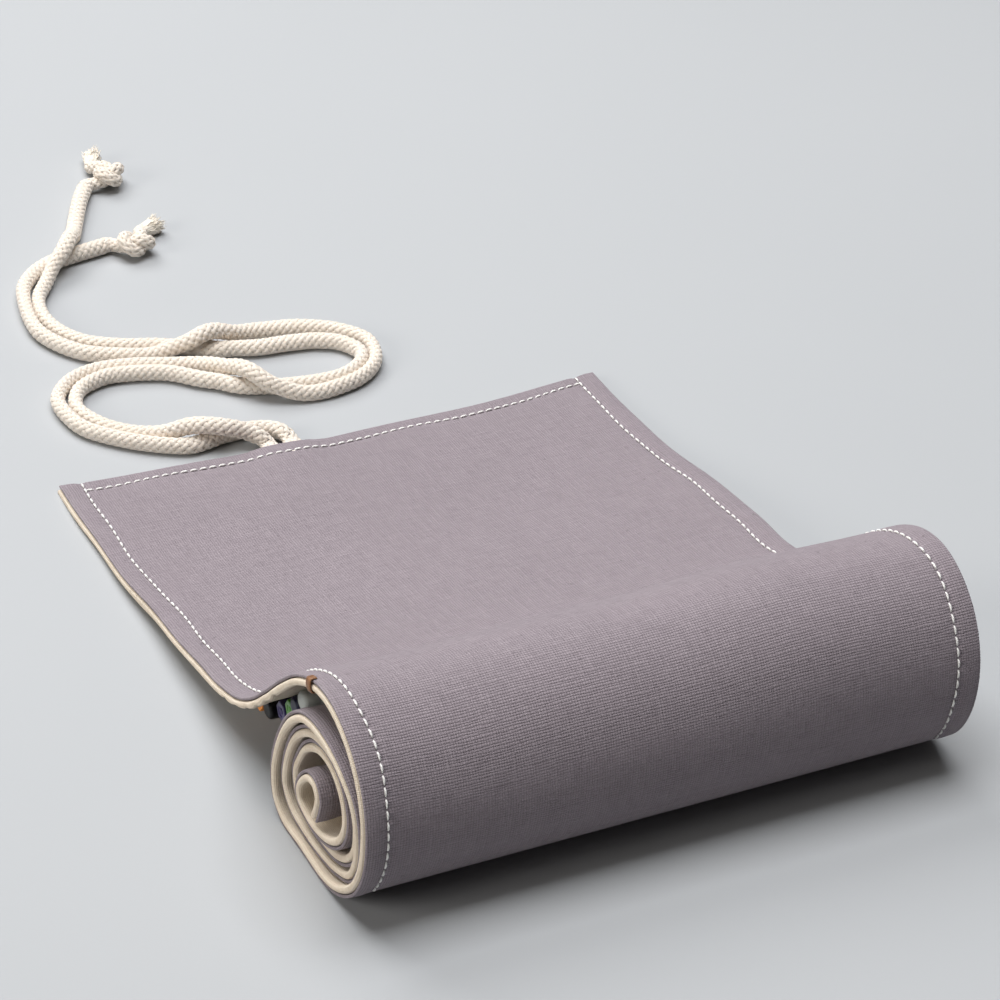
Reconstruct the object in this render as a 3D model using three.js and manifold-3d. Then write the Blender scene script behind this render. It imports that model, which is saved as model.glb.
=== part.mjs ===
// A canvas brush roll case, part rolled up, with six pens and pencils in its pockets and a doubled
// tie cord lying behind it. Millimetres, +Z up. X runs along the roll, +Y from the roll to the
// flap's free edge. The origin is under the middle of the case, on the surface that it lies on.
import * as THREE from "three";
import Module from "manifold-3d";

const wasm = await Module();
wasm.setup();

// ---- driving dimensions -------------------------------------------------------------------
const WIDTH = 205; // of the case, along the roll
const ORIGIN_Y = 86.19; // from the roll's axis to the middle of the case

// The layers of the cloth, as distances from the face where canvas and lining meet.
// A positive distance is on the canvas side, a negative one on the lining side.
const GAP = 0.3; // air between touching pieces
const CANVAS = [0.15, 1.05];
const LINING = [-1.75, -0.15];
const FLAT_POCKET = [-2.65, -2.05]; // the pocket panel where it lies flat on the lining
const THREAD = [1.35, 1.7]; // top-stitching, laid on the canvas
const THREAD_WIDTH = 0.8;
const STITCH_INSET = 7; // from the side edges to the stitching
const FAR_STITCH = 5; // from the far edge to the stitching

// The section of the cloth as [y from the roll's axis, z]: the flap from its far edge to the roll,
const FLAP_SECTION = [
  [207, 1.8], [185, 3.1], [160, 3.9], [128, 6.2], [103, 9.8], [84, 13.2],
  [70, 16.4], [58.5, 20.5], [48.5, 27], [38, 37], [27.5, 48.3], [16.5, 58.2], [5, 64],
];
// then the outer turn, over the top, down the front, flat on the table and up the back,
const OUTER_TURN = [
  [-6, 65], [-16.5, 61.2], [-25.5, 53.5], [-31.2, 43], [-33, 32], [-31.5, 21],
  [-26.5, 11.5], [-18, 4.5], [-8, 1.1], [8, 0.95], [21, 0.95], [28, 5.7],
  [30, 14.5], [28.5, 23.5], [25, 32.3], [20.6, 39.8], [15.4, 45.6], [9, 50], [1.5, 52],
];
// the second and third turns, each flattened by the one round it,
const SECOND_TURN = [
  [-6.5, 52], [-14, 50.4], [-20.2, 47.8], [-24.8, 43.6], [-27.5, 38.2], [-28.4, 32],
  [-28.2, 26], [-26.6, 20], [-21.7, 12], [-13, 7], [-2, 5.2], [10, 5.2], [19.6, 7.7],
  [24.8, 13.8], [24.3, 22], [21.5, 30], [17.5, 37], [12.2, 42.4], [5.5, 46.2], [-2, 47.4],
];
const THIRD_TURN = [
  [-9.8, 46.3], [-16.4, 43.4], [-21, 38.8], [-23.6, 33], [-23.9, 27], [-22.5, 21.2],
  [-18.2, 15.2], [-11, 11.1], [-2, 9.7], [8, 10], [16.2, 12.9], [20, 19], [20, 23.5],
  [17.4, 29.2], [13.8, 34.8], [8.8, 39.3], [2.5, 42.4], [-4.8, 43],
];
// and the loose inner end, curled up in the middle.
const CORE = [
  [-11.2, 41.2], [-16, 37.4], [-18.7, 32.4], [-19, 27], [-16.4, 21.2], [-10.5, 16.6],
  [-2.5, 14.6], [5.5, 15.4], [10.8, 18.4], [11.6, 23], [8.8, 28.2], [4, 32.2],
  [-1.2, 32.4], [-4.2, 29], [-3.6, 24], [-2.2, 20],
];
const SAMPLE = 3.2; // mm of cloth to each flat facet
const INNER_HEM = 48; // bare lining between the pocket panel and the case's inner edge
const FAR_HEM = 26; // and between the pocket panel and the far edge
const FOLD_AT_Y = 75.6; // where the flap folds up from the roll

// The pens and pencils lie side by side under the slope of the cloth, next to the fold.
const TOOLS = [
  { name: "orange", kind: "pencil", inset: 10.5, colour: 0xf07a24 },
  { name: "black", kind: "pen", inset: 9.5, colour: 0x16161a },
  { name: "violet", kind: "pencil", inset: 10.5, colour: 0x3b2f78 },
  { name: "green", kind: "pencil", inset: 10, colour: 0x4f9b3c },
  { name: "navy", kind: "pen", inset: 8.5, colour: 0x1b1c36 },
  { name: "clear", kind: "pen", inset: 8, colour: 0xd3d6d2 },
];
const FIRST_TOOL = 9; // from the fold to the first tool, along the cloth
const TOOL_PITCH = 8.4;
const TOOL_RADIUS = 3.45;
const TOOL_DEPTH = -5.5; // of the tools' middles, on the lining side
const TOOL_POCKET = [-9.9, -9.3]; // the pocket panel where it passes over the tools
const SEAM_THICKNESS = 0.5; // of the thread between two pockets
const POCKET_MOUTH_X = -38;
const POCKET_END_X = 94; // where the pockets are sewn shut
const PANEL_END_X = 101;

const PENCIL_LENGTH = 175;
const PENCIL_BORE = 1.6;
const PENCIL_CORE = 1.05;
const PENCIL_CONE = 24; // length of the sharpened end
const PENCIL_TIP = 5; // length of bare core at its point
const PENCIL_END = { chamfer: 0.6, length: 0.8 }; // at the blunt end

const PEN_LENGTH = 148;
const PEN_BARREL = 3.35; // radius
const CAP_LENGTH = 44;
const CAP_WALL = 0.6;
const CAP_END = { thick: 1.6, chamfer: 0.9 };
const NOSE = { length: 38, cone: 14, tip: 3, tipRadius: 1.2, shoulderRadius: 1.4, bore: 0.8 };
const NIB = { start: 2.6, tipRadius: 0.35, radius: 0.5 };
const INK_ROOM = { from: 6, radius: 2.4 }; // the barrel's hollow, from the cap's rim
const PLUG = { depth: 5.7, radius: 3.1, chamfer: 1, endRadius: 2.4, seat: 6 };

// The tie cord: one rope, folded in two and caught in the far hem at its fold.
const ROPE_RADIUS = 3;
const ROPE_REST = 3.2; // height of the rope's middle where it lies on the table
const ROPE_SIDES = 8;
const ROPE_STEP = 12;
const ROPE_FOLD = { x: -21.75, width: 17, depth: 14, low: 0.1, high: 1.55 };
const CORD_A = [
  [-17.5, 121.3], [-17.6, 125], [-21.5, 130.4], [-29, 133.4], [-38, 133.1], [-46, 131],
  [-54, 130.4], [-63, 134.3], [-81.5, 150.5], [-85.5, 162], [-84.8, 174], [-77, 183.6],
  [-65.5, 188], [-53, 186.8], [-41, 183.3], [-29, 178.3, 3.4], [-22, 169.5, 6.6],
  [-18, 158.7, 9.9], [-11.5, 150.4, 6.6], [-1, 146.3], [12, 146], [24.4, 150.4],
  [33.8, 159.8], [35.6, 172], [28.2, 182.4], [16, 189], [2, 191.8], [-8, 191.3, 4.8],
  [-15, 189.4, 8], [-22.8, 187.2, 9.9], [-31, 186.2, 7.4], [-41.5, 188.8], [-53.5, 192.5],
  [-64.8, 199], [-72.4, 209.5], [-75.6, 221.5], [-70.8, 246.4], [-62.8, 256.8], [-52, 263],
  [-30, 268],
];
const CORD_B = [
  [-26, 121.3], [-26.1, 124.3, 3.4], [-30.5, 127, 5.6], [-38, 128, 8.8], [-45.5, 130.8, 9.9],
  [-52, 135, 8.4], [-59, 139.7, 4.8], [-66.5, 145.2], [-74.8, 154.3], [-78.4, 166],
  [-74, 175.8], [-63, 180.6], [-50.5, 179], [-39, 174], [-29, 165.8], [-18, 158.7],
  [-5.5, 155.4], [8, 153.6], [18, 155], [25, 159.4], [28, 166], [25.1, 173], [18, 177.8],
  [8, 180.2], [-4.5, 181.3], [-15.5, 183.8], [-25, 189.2], [-37, 195.6], [-49.5, 199.8],
  [-60.5, 206.5], [-66.6, 217], [-67.8, 229], [-64.8, 240.5], [-58.5, 249.6, 4],
  [-52, 256.6, 8], [-46, 264, 10.1], [-42, 271, 8.2], [-38, 279.5], [-26.5, 302.5],
  [-21, 311.5],
];
const KNOT_SIZE = { long: 17, wide: 14, high: 12, clear: 0.9 };
const TAIL = { length: 10, radius: 4, clear: 0.7, height: 5 };

// ---- colours ------------------------------------------------------------------------------
const CANVAS_GREY = 0x8b7f87;
const COTTON = 0xe9dcc6;
const ROPE_CREAM = 0xecdcc6;
const STITCH_WHITE = 0xf2f0ec;
const STEEL = 0xb9bcc0;
const LEATHER = 0x8a5a34;

const brushRollCase = new THREE.Group();

function add(name, geometry, colour, roughness = 0.9, metalness = 0) {
  const material = new THREE.MeshStandardMaterial({ color: colour, roughness, metalness });
  const mesh = new THREE.Mesh(geometry, material);
  mesh.name = name;
  brushRollCase.add(mesh);
  return mesh;
}

// ---- the cloth's section ------------------------------------------------------------------
const sectionCurve = new THREE.CatmullRomCurve3(
  [...FLAP_SECTION, ...OUTER_TURN, ...SECOND_TURN, ...THIRD_TURN, ...CORE].map(
    ([y, z]) => new THREE.Vector3(0, y - ORIGIN_Y, z),
  ),
  false,
  "centripetal",
);
sectionCurve.arcLengthDivisions = 4000;
const clothLength = sectionCurve.getLength();

// The point at a distance along the cloth, moved off the seam face by offset, as (y, z).
function clothPoint(along, offset) {
  const u = THREE.MathUtils.clamp(along / clothLength, 0, 1);
  const p = sectionCurve.getPointAt(u);
  const t = sectionCurve.getTangentAt(u);
  const z = Math.max(p.z - t.y * offset, 0);
  return new THREE.Vector2(p.y + t.z * offset, z);
}

// The distance along the cloth at which it reaches y on its way from the far edge to the roll.
function alongAtY(y) {
  let along = 0;
  while (sectionCurve.getPointAt(along / clothLength).y > y - ORIGIN_Y) along += 0.02;
  return along;
}

const FOLD = alongAtY(FOLD_AT_Y);
const TOP = alongAtY(0);

// A strip of cloth: both faces are given by functions of the distance along it, or by numbers.
// Knees are the distances at which a face changes direction, besides the evenly spaced ones.
function strip(from, to, low, high, x0, x1, knees = []) {
  const lowAt = typeof low === "function" ? low : () => low;
  const highAt = typeof high === "function" ? high : () => high;
  const steps = Math.max(1, Math.round((to - from) / SAMPLE));
  const even = Array.from({ length: steps + 1 }, (_, i) => from + ((to - from) * i) / steps);
  const stations = even.filter((at) => knees.every((knee) => Math.abs(at - knee) > SAMPLE / 4));
  stations.push(...knees);
  stations.sort((a, b) => a - b);
  const top = stations.map((along) => clothPoint(along, highAt(along)));
  const bottom = stations.map((along) => clothPoint(along, lowAt(along)));
  return alongX(new THREE.Shape([...top, ...bottom.reverse()]), x0, x1);
}

// Extrudes a shape drawn in (y, z) from x0 to x1.
function alongX(shape, x0, x1) {
  const geometry = new THREE.ExtrudeGeometry(shape, { depth: x1 - x0, bevelEnabled: false });
  const yAxis = new THREE.Vector3(0, 1, 0);
  const zAxis = new THREE.Vector3(0, 0, 1);
  const xAxis = new THREE.Vector3(1, 0, 0);
  geometry.applyMatrix4(new THREE.Matrix4().makeBasis(yAxis, zAxis, xAxis));
  geometry.translate(x0, 0, 0);
  return geometry;
}

// ---- booleans -----------------------------------------------------------------------------
function toManifold(geometry) {
  const points = geometry.getAttribute("position");
  const index = new Map();
  const vertices = [];
  const triangles = [];
  const order = geometry.index ? Array.from(geometry.index.array) : [...Array(points.count).keys()];
  for (const i of order) {
    const xyz = [points.getX(i), points.getY(i), points.getZ(i)].map((v) => Math.round(v * 1e4) / 1e4);
    const key = xyz.join(" ");
    if (!index.has(key)) {
      index.set(key, vertices.length / 3);
      vertices.push(...xyz);
    }
    triangles.push(index.get(key));
  }
  return new wasm.Manifold(
    new wasm.Mesh({
      numProp: 3,
      vertProperties: new Float32Array(vertices),
      triVerts: new Uint32Array(triangles),
    }),
  );
}

function toGeometry(manifold) {
  const mesh = manifold.getMesh();
  const geometry = new THREE.BufferGeometry();
  geometry.setAttribute("position", new THREE.BufferAttribute(mesh.vertProperties, 3));
  geometry.setIndex(new THREE.BufferAttribute(mesh.triVerts, 1));
  return geometry;
}

// ---- the cloth ----------------------------------------------------------------------------
const LEFT = -WIDTH / 2;
const RIGHT = WIDTH / 2;

add("canvas_flap", strip(0, FOLD - GAP, ...CANVAS, LEFT, RIGHT), CANVAS_GREY);
add("canvas_roll", strip(FOLD + GAP, clothLength, ...CANVAS, LEFT, RIGHT), CANVAS_GREY);
add("lining_roll", strip(FOLD + GAP, clothLength, ...LINING, LEFT, RIGHT), COTTON);

// The lining of the flap is notched at the far edge, round the fold of the tie cord.
function flapLining() {
  const notch = new THREE.BoxGeometry(
    ROPE_FOLD.width + 2 * GAP,
    2 * (ROPE_FOLD.depth + GAP),
    2 * (ROPE_FOLD.high + 1),
  );
  notch.translate(ROPE_FOLD.x, FLAP_SECTION[0][0] - ORIGIN_Y, 0);
  const whole = toManifold(strip(0, FOLD - GAP, ...LINING, LEFT, RIGHT));
  return toGeometry(whole.subtract(toManifold(notch)));
}
add("lining_flap", flapLining(), COTTON);

// ---- the pockets --------------------------------------------------------------------------
const firstTool = FOLD + FIRST_TOOL;
const lastTool = firstTool + (TOOLS.length - 1) * TOOL_PITCH;
const besideSeam = TOOL_PITCH / 2 + SEAM_THICKNESS;
const RISE = 3.6; // length of cloth over which the panel leaves the lining
const FALL = 6; // and over which it returns
const rampFrom = firstTool - besideSeam - RISE; // where the panel leaves the lining,
const rampTo = firstTool - besideSeam; // has passed under the first tool's seam,
const returnFrom = lastTool + besideSeam; // starts back after the last tool
const returnTo = lastTool + besideSeam + FALL; // and lies on the lining again

function panelFace(side) {
  const { clamp, lerp } = THREE.MathUtils;
  return (along) => {
    const rise = clamp((along - rampFrom) / (rampTo - rampFrom), 0, 1);
    const fall = clamp((along - returnFrom) / (returnTo - returnFrom), 0, 1);
    return lerp(FLAT_POCKET[side], TOOL_POCKET[side], rise - fall);
  };
}

add(
  "pocket_panel_flap",
  strip(FAR_HEM, FOLD - GAP, ...FLAT_POCKET, POCKET_MOUTH_X, PANEL_END_X),
  COTTON,
);
add(
  "pocket_panel_roll",
  strip(
    FOLD + GAP, clothLength - INNER_HEM, panelFace(0), panelFace(1), POCKET_MOUTH_X, PANEL_END_X,
    [rampFrom, rampTo, returnFrom, returnTo],
  ),
  COTTON,
);

const webLow = TOOL_POCKET[1] + GAP;
const webHigh = LINING[0] - GAP;
for (let i = 0; i <= TOOLS.length; i++) {
  const middle = firstTool + (i - 0.5) * TOOL_PITCH;
  const half = SEAM_THICKNESS / 2;
  add(
    `pocket_seam_${i + 1}`,
    strip(middle - half, middle + half, webLow, webHigh, POCKET_MOUTH_X + 1, POCKET_END_X - GAP),
    STITCH_WHITE,
  );
}
const endSeam = strip(
  firstTool - TOOL_PITCH / 2, lastTool + TOOL_PITCH / 2, webLow, webHigh,
  POCKET_END_X, POCKET_END_X + SEAM_THICKNESS,
);
add("pocket_end_seam", endSeam, STITCH_WHITE);

// ---- the top-stitching --------------------------------------------------------------------
const threadEnd = TOP + 72; // low on the roll's front, before the cloth meets the table
const stitchFrom = FAR_STITCH + THREAD_WIDTH + GAP;
for (const [side, x] of [["left", LEFT + STITCH_INSET], ["right", RIGHT - STITCH_INSET]]) {
  const x0 = x - THREAD_WIDTH / 2;
  const x1 = x + THREAD_WIDTH / 2;
  add(`${side}_stitch_flap`, strip(stitchFrom, FOLD - GAP, ...THREAD, x0, x1), STITCH_WHITE);
  add(`${side}_stitch_roll`, strip(FOLD + GAP, threadEnd, ...THREAD, x0, x1), STITCH_WHITE);
}
add(
  "far_edge_stitch",
  strip(FAR_STITCH, FAR_STITCH + THREAD_WIDTH, ...THREAD, LEFT + STITCH_INSET, RIGHT - STITCH_INSET),
  STITCH_WHITE,
);

// A small leather tab caught in the left edge, near the top of the roll.
const TAB = { before: 9, length: 4, width: 2.6, faces: [1.35, 2.1] };
add(
  "edge_tab",
  strip(TOP - TAB.before, TOP - TAB.before + TAB.length, ...TAB.faces, LEFT, LEFT + TAB.width),
  LEATHER,
  0.7,
);

// ---- pens and pencils ---------------------------------------------------------------------
// Turns a closed profile of [distance along the tool, radius] round the tool's axis, along +X.
function turned(profile, sides) {
  const points = profile.map(([along, radius]) => new THREE.Vector2(radius, along));
  points.push(points[0].clone());
  points.reverse();
  const geometry = new THREE.LatheGeometry(points, sides);
  geometry.rotateZ(-Math.PI / 2);
  return geometry;
}

function place(mesh, x, centre) {
  mesh.position.set(x, centre.x, centre.y);
}

// Distances run from the end of the tool nearest the case's left edge.
function addPencil(tool, x, centre) {
  const cone = PENCIL_LENGTH - PENCIL_CONE;
  const tip = PENCIL_LENGTH - PENCIL_TIP;
  const coreStart = GAP;
  const casing = [
    [0, PENCIL_BORE], [PENCIL_END.length, PENCIL_BORE], [cone, PENCIL_BORE], [tip, PENCIL_BORE],
    [tip, PENCIL_BORE + GAP], [cone, TOOL_RADIUS], [PENCIL_END.length, TOOL_RADIUS],
    [0, TOOL_RADIUS - PENCIL_END.chamfer],
  ];
  const core = [
    [coreStart, 0], [PENCIL_LENGTH, 0], [tip, PENCIL_CORE], [coreStart, PENCIL_CORE],
  ];
  place(add(`${tool.name}_pencil_casing`, turned(casing, 6), tool.colour, 0.45), x, centre);
  place(add(`${tool.name}_pencil_core`, turned(core, 8), tool.colour, 0.6), x, centre);
}

function addPen(tool, x, centre) {
  const capBore = TOOL_RADIUS - CAP_WALL;
  const grip = capBore - GAP;
  const noseStart = CAP_LENGTH - NOSE.length;
  const roomStart = CAP_LENGTH + INK_ROOM.from;
  const roomEnd = PEN_LENGTH - PLUG.seat;
  const plugStart = PEN_LENGTH - PLUG.depth;
  const barrel = [
    [noseStart, NOSE.bore], [roomStart, NOSE.bore], [roomStart, INK_ROOM.radius],
    [roomEnd, INK_ROOM.radius], [roomEnd, PEN_BARREL], [CAP_LENGTH + GAP, PEN_BARREL],
    [CAP_LENGTH + GAP, grip], [noseStart + NOSE.cone, grip],
    [noseStart + NOSE.tip, NOSE.shoulderRadius], [noseStart, NOSE.tipRadius],
  ];
  const nib = [
    [NIB.start, 0], [CAP_LENGTH, 0], [CAP_LENGTH, NIB.radius], [NIB.start, NIB.tipRadius],
  ];
  const cap = [
    [0, 0], [CAP_END.thick, 0], [CAP_END.thick, capBore], [CAP_LENGTH, capBore],
    [CAP_LENGTH, TOOL_RADIUS], [CAP_END.chamfer, TOOL_RADIUS], [0, TOOL_RADIUS - CAP_END.chamfer],
  ];
  const plug = [
    [plugStart, 0], [PEN_LENGTH, 0], [PEN_LENGTH, PLUG.endRadius],
    [PEN_LENGTH - PLUG.chamfer, PLUG.radius], [plugStart, PLUG.radius],
  ];
  const pieces = [
    ["barrel", barrel, 16, tool.colour, 0.35, 0],
    ["nib", nib, 8, STEEL, 0.3, 0.9],
    ["cap", cap, 16, tool.colour, 0.25, 0],
    ["end_plug", plug, 12, tool.colour, 0.4, 0],
  ];
  for (const [part, profile, sides, colour, roughness, metalness] of pieces) {
    const mesh = add(`${tool.name}_pen_${part}`, turned(profile, sides), colour, roughness, metalness);
    place(mesh, x, centre);
  }
}

TOOLS.forEach((tool, i) => {
  const centre = clothPoint(firstTool + i * TOOL_PITCH, TOOL_DEPTH);
  const build = tool.kind === "pencil" ? addPencil : addPen;
  build(tool, LEFT + tool.inset, centre);
});

// ---- the tie cord -------------------------------------------------------------------------
function ropeTube(route) {
  const points = route.map(([x, y, z = ROPE_REST]) => new THREE.Vector3(x, y, z));
  const path = new THREE.CatmullRomCurve3(points, false, "centripetal");
  path.arcLengthDivisions = 2000;
  const section = new THREE.Shape();
  for (let i = 0; i < ROPE_SIDES; i++) {
    const angle = ((i + 0.5) * 2 * Math.PI) / ROPE_SIDES;
    const at = [ROPE_RADIUS * Math.cos(angle), ROPE_RADIUS * Math.sin(angle)];
    if (i === 0) section.moveTo(...at);
    else section.lineTo(...at);
  }
  section.closePath();
  const steps = Math.round(path.getLength() / ROPE_STEP);
  return new THREE.ExtrudeGeometry(section, { steps, extrudePath: path, bevelEnabled: false });
}

// A knot is a rounded lump in line with the end of its rope, and its frayed tail follows it.
function addKnot(letter, route, turn) {
  const [x1, y1] = route[route.length - 1];
  const [x0, y0] = route[route.length - 2];
  const heading = Math.atan2(y1 - y0, x1 - x0);
  const reach = KNOT_SIZE.long / 2 + KNOT_SIZE.clear;
  const knot = new THREE.SphereGeometry(0.5, 12, 8);
  knot.scale(KNOT_SIZE.long, KNOT_SIZE.wide, KNOT_SIZE.high);
  const knotMesh = add(`knot_${letter}`, knot, ROPE_CREAM);
  knotMesh.rotation.z = heading;
  const cx = x1 + reach * Math.cos(heading);
  const cy = y1 + reach * Math.sin(heading);
  knotMesh.position.set(cx, cy, KNOT_SIZE.high / 2 + (ROPE_REST - ROPE_RADIUS));

  const profile = [[0, 0], [TAIL.length, 0], [TAIL.length, TAIL.radius], [0, ROPE_RADIUS]];
  const tailMesh = add(`frayed_end_${letter}`, turned(profile, 10), ROPE_CREAM);
  const tailHeading = heading + turn;
  tailMesh.rotation.z = tailHeading;
  const tailReach = KNOT_SIZE.long / 2 + TAIL.clear;
  tailMesh.position.set(
    cx + tailReach * Math.cos(tailHeading),
    cy + tailReach * Math.sin(tailHeading),
    TAIL.height,
  );
}

add("cord_a", ropeTube(CORD_A), ROPE_CREAM);
add("cord_b", ropeTube(CORD_B), ROPE_CREAM);
addKnot("a", CORD_A, 0.55);
addKnot("b", CORD_B, 0.35);

const foldFront = FLAP_SECTION[0][0] - ORIGIN_Y - ROPE_FOLD.depth;
const rope = new THREE.BoxGeometry(ROPE_FOLD.width, ROPE_FOLD.depth, ROPE_FOLD.high - ROPE_FOLD.low);
rope.translate(ROPE_FOLD.x, foldFront + ROPE_FOLD.depth / 2, (ROPE_FOLD.high + ROPE_FOLD.low) / 2);
add("cord_fold", rope, ROPE_CREAM);

export default brushRollCase;
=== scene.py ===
import math

import bpy
import numpy as np
from mathutils import Matrix, Vector


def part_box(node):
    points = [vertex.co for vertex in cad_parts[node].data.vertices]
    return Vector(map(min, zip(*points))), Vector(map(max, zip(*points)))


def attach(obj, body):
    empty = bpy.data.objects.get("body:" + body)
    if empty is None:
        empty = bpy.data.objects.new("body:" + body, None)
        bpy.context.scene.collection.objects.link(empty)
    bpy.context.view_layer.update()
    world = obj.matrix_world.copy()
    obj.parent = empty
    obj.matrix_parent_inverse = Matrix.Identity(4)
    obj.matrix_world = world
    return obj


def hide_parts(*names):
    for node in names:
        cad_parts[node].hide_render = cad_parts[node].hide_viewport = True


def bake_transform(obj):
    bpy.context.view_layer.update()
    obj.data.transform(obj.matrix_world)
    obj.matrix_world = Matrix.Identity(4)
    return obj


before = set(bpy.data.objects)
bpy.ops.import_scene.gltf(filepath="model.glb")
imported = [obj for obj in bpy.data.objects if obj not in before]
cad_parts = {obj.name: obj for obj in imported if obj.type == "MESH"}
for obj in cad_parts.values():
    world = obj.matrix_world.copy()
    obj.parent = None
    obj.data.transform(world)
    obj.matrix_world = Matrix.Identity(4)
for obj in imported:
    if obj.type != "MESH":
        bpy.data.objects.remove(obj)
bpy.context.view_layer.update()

# A canvas brush roll case, part rolled up, with six pens and pencils in its pockets and a doubled
# tie cord behind it. Metres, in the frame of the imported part. Points are written in millimetres
# and multiplied by MM.
MM = 0.001
UP = np.array([0.0, 0.0, 1.0])
rng = np.random.default_rng(11)  # for the loose fibres at the cord's ends

# ---- driving dimensions ----
WIDTH = 205 * MM
LEFT = -WIDTH / 2
RIGHT = WIDTH / 2
ORIGIN_Y = 86.19 * MM  # from the roll's axis to the middle of the case
FOLD_AT_Y = 75.6 * MM  # from the roll's axis to where the flap folds up

# Layers of cloth, as distances from the face where canvas and lining meet, canvas side positive.
CANVAS = (0.15 * MM, 1.05 * MM)
LINING = (-1.75 * MM, -0.15 * MM)
PANEL_MIDDLE = -2.35 * MM  # of the pocket panel where it lies flat
PANEL_THICK = 0.5 * MM

# The section of the cloth as (y from the roll's axis, z), from the far edge of the flap inwards.
SECTION_POINTS = [
    (207, 1.8), (185, 3.1), (160, 3.9), (128, 6.2), (103, 9.8), (84, 13.2),
    (70, 16.4), (58.5, 20.5), (48.5, 27), (38, 37), (27.5, 48.3), (16.5, 58.2), (5, 64),
    (-6, 65), (-16.5, 61.2), (-25.5, 53.5), (-31.2, 43), (-33, 32), (-31.5, 21),
    (-26.5, 11.5), (-18, 4.5), (-8, 1.1), (8, 0.95), (21, 0.95), (28, 5.7),
    (30, 14.5), (28.5, 23.5), (25, 32.3), (20.6, 39.8), (15.4, 45.6), (9, 50), (1.5, 52),
    (-6.5, 52), (-14, 50.4), (-20.2, 47.8), (-24.8, 43.6), (-27.5, 38.2), (-28.4, 32), (-28.2, 26),
    (-26.6, 20), (-21.7, 12), (-13, 7), (-2, 5.2), (10, 5.2), (19.6, 7.7), (24.8, 13.8),
    (24.3, 22), (21.5, 30), (17.5, 37), (12.2, 42.4), (5.5, 46.2), (-2, 47.4), (-9.8, 46.3),
    (-16.4, 43.4), (-21, 38.8), (-23.6, 33), (-23.9, 27), (-22.5, 21.2), (-18.2, 15.2),
    (-11, 11.1), (-2, 9.7), (8, 10), (16.2, 12.9), (20, 19), (20, 23.5), (17.4, 29.2),
    (13.8, 34.8), (8.8, 39.3), (2.5, 42.4), (-4.8, 43), (-11.2, 41.2), (-16, 37.4), (-18.7, 32.4),
    (-19, 27), (-16.4, 21.2), (-10.5, 16.6), (-2.5, 14.6), (5.5, 15.4), (10.8, 18.4),
    (11.6, 23), (8.8, 28.2), (4, 32.2), (-1.2, 32.4), (-4.2, 29), (-3.6, 24), (-2.2, 20),
]

TOOLS = [
    ("orange", "pencil"), ("black", "pen"), ("violet", "pencil"), ("green", "pencil"),
    ("navy", "pen"), ("clear", "pen"),
]
FIRST_TOOL = 9 * MM  # from the fold to the first tool, along the cloth
TOOL_PITCH = 8.4 * MM
TOOL_RADIUS = 3.45 * MM
TOOL_DEPTH = -5.5 * MM  # of the tools' axes, off the seam face
POCKET_MOUTH_X = -38 * MM
POCKET_END_X = 94 * MM
PANEL_END_X = 101 * MM
INNER_HEM = 48 * MM  # from the panel to the cloth's inner end
FAR_HEM = 26 * MM  # from the panel to the flap's far edge

# The tie cord: two runs of one rope, whose fold is caught in the far hem.
ROPE_RADIUS = 3.25 * MM
ROPE_REST = 3.25 * MM  # height of the rope's middle where it lies on the floor
CORD_A = [
    (-17.5, 121.3), (-17.6, 125), (-21.5, 130.4), (-29, 133.4), (-38, 133.1), (-46, 131),
    (-54, 130.4), (-63, 134.3), (-81.5, 150.5), (-85.5, 162), (-84.8, 174), (-77, 183.6),
    (-65.5, 188), (-53, 186.8), (-41, 183.3), (-29, 178.3, 3.4), (-22, 169.5, 6.6),
    (-18, 158.7, 9.9), (-11.5, 150.4, 6.6), (-1, 146.3), (12, 146), (24.4, 150.4),
    (33.8, 159.8), (35.6, 172), (28.2, 182.4), (16, 189), (2, 191.8), (-8, 191.3, 4.8),
    (-15, 189.4, 8), (-22.8, 187.2, 9.9), (-31, 186.2, 7.4), (-41.5, 188.8), (-53.5, 192.5),
    (-64.8, 199), (-72.4, 209.5), (-75.6, 221.5), (-70.8, 246.4), (-62.8, 256.8), (-52, 263),
    (-30, 268),
]
CORD_B = [
    (-26, 121.3), (-26.1, 124.3, 3.4), (-30.5, 127, 5.6), (-38, 128, 8.8), (-45.5, 130.8, 9.9),
    (-52, 135, 8.4), (-59, 139.7, 4.8), (-66.5, 145.2), (-74.8, 154.3), (-78.4, 166),
    (-74, 175.8), (-63, 180.6), (-50.5, 179), (-39, 174), (-29, 165.8), (-18, 158.7),
    (-5.5, 155.4), (8, 153.6), (18, 155), (25, 159.4), (28, 166), (25.1, 173), (18, 177.8),
    (8, 180.2), (-4.5, 181.3), (-15.5, 183.8), (-25, 189.2), (-37, 195.6), (-49.5, 199.8),
    (-60.5, 206.5), (-66.6, 217), (-67.8, 229), (-64.8, 240.5), (-58.5, 249.6, 4),
    (-52, 256.6, 8), (-46, 264, 10.1), (-42, 271, 8.2), (-38, 279.5), (-26.5, 302.5),
    (-21, 311.5),
]

# ---- camera ----
CAMERA_AT = np.array([-444.67, -787.82, 661.27]) * MM
CAMERA_TURN = math.radians(29.376)  # of the view from +Y towards +X
CAMERA_DOWN = math.radians(34.001)
CAMERA_ROLL = math.radians(4.828)


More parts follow.
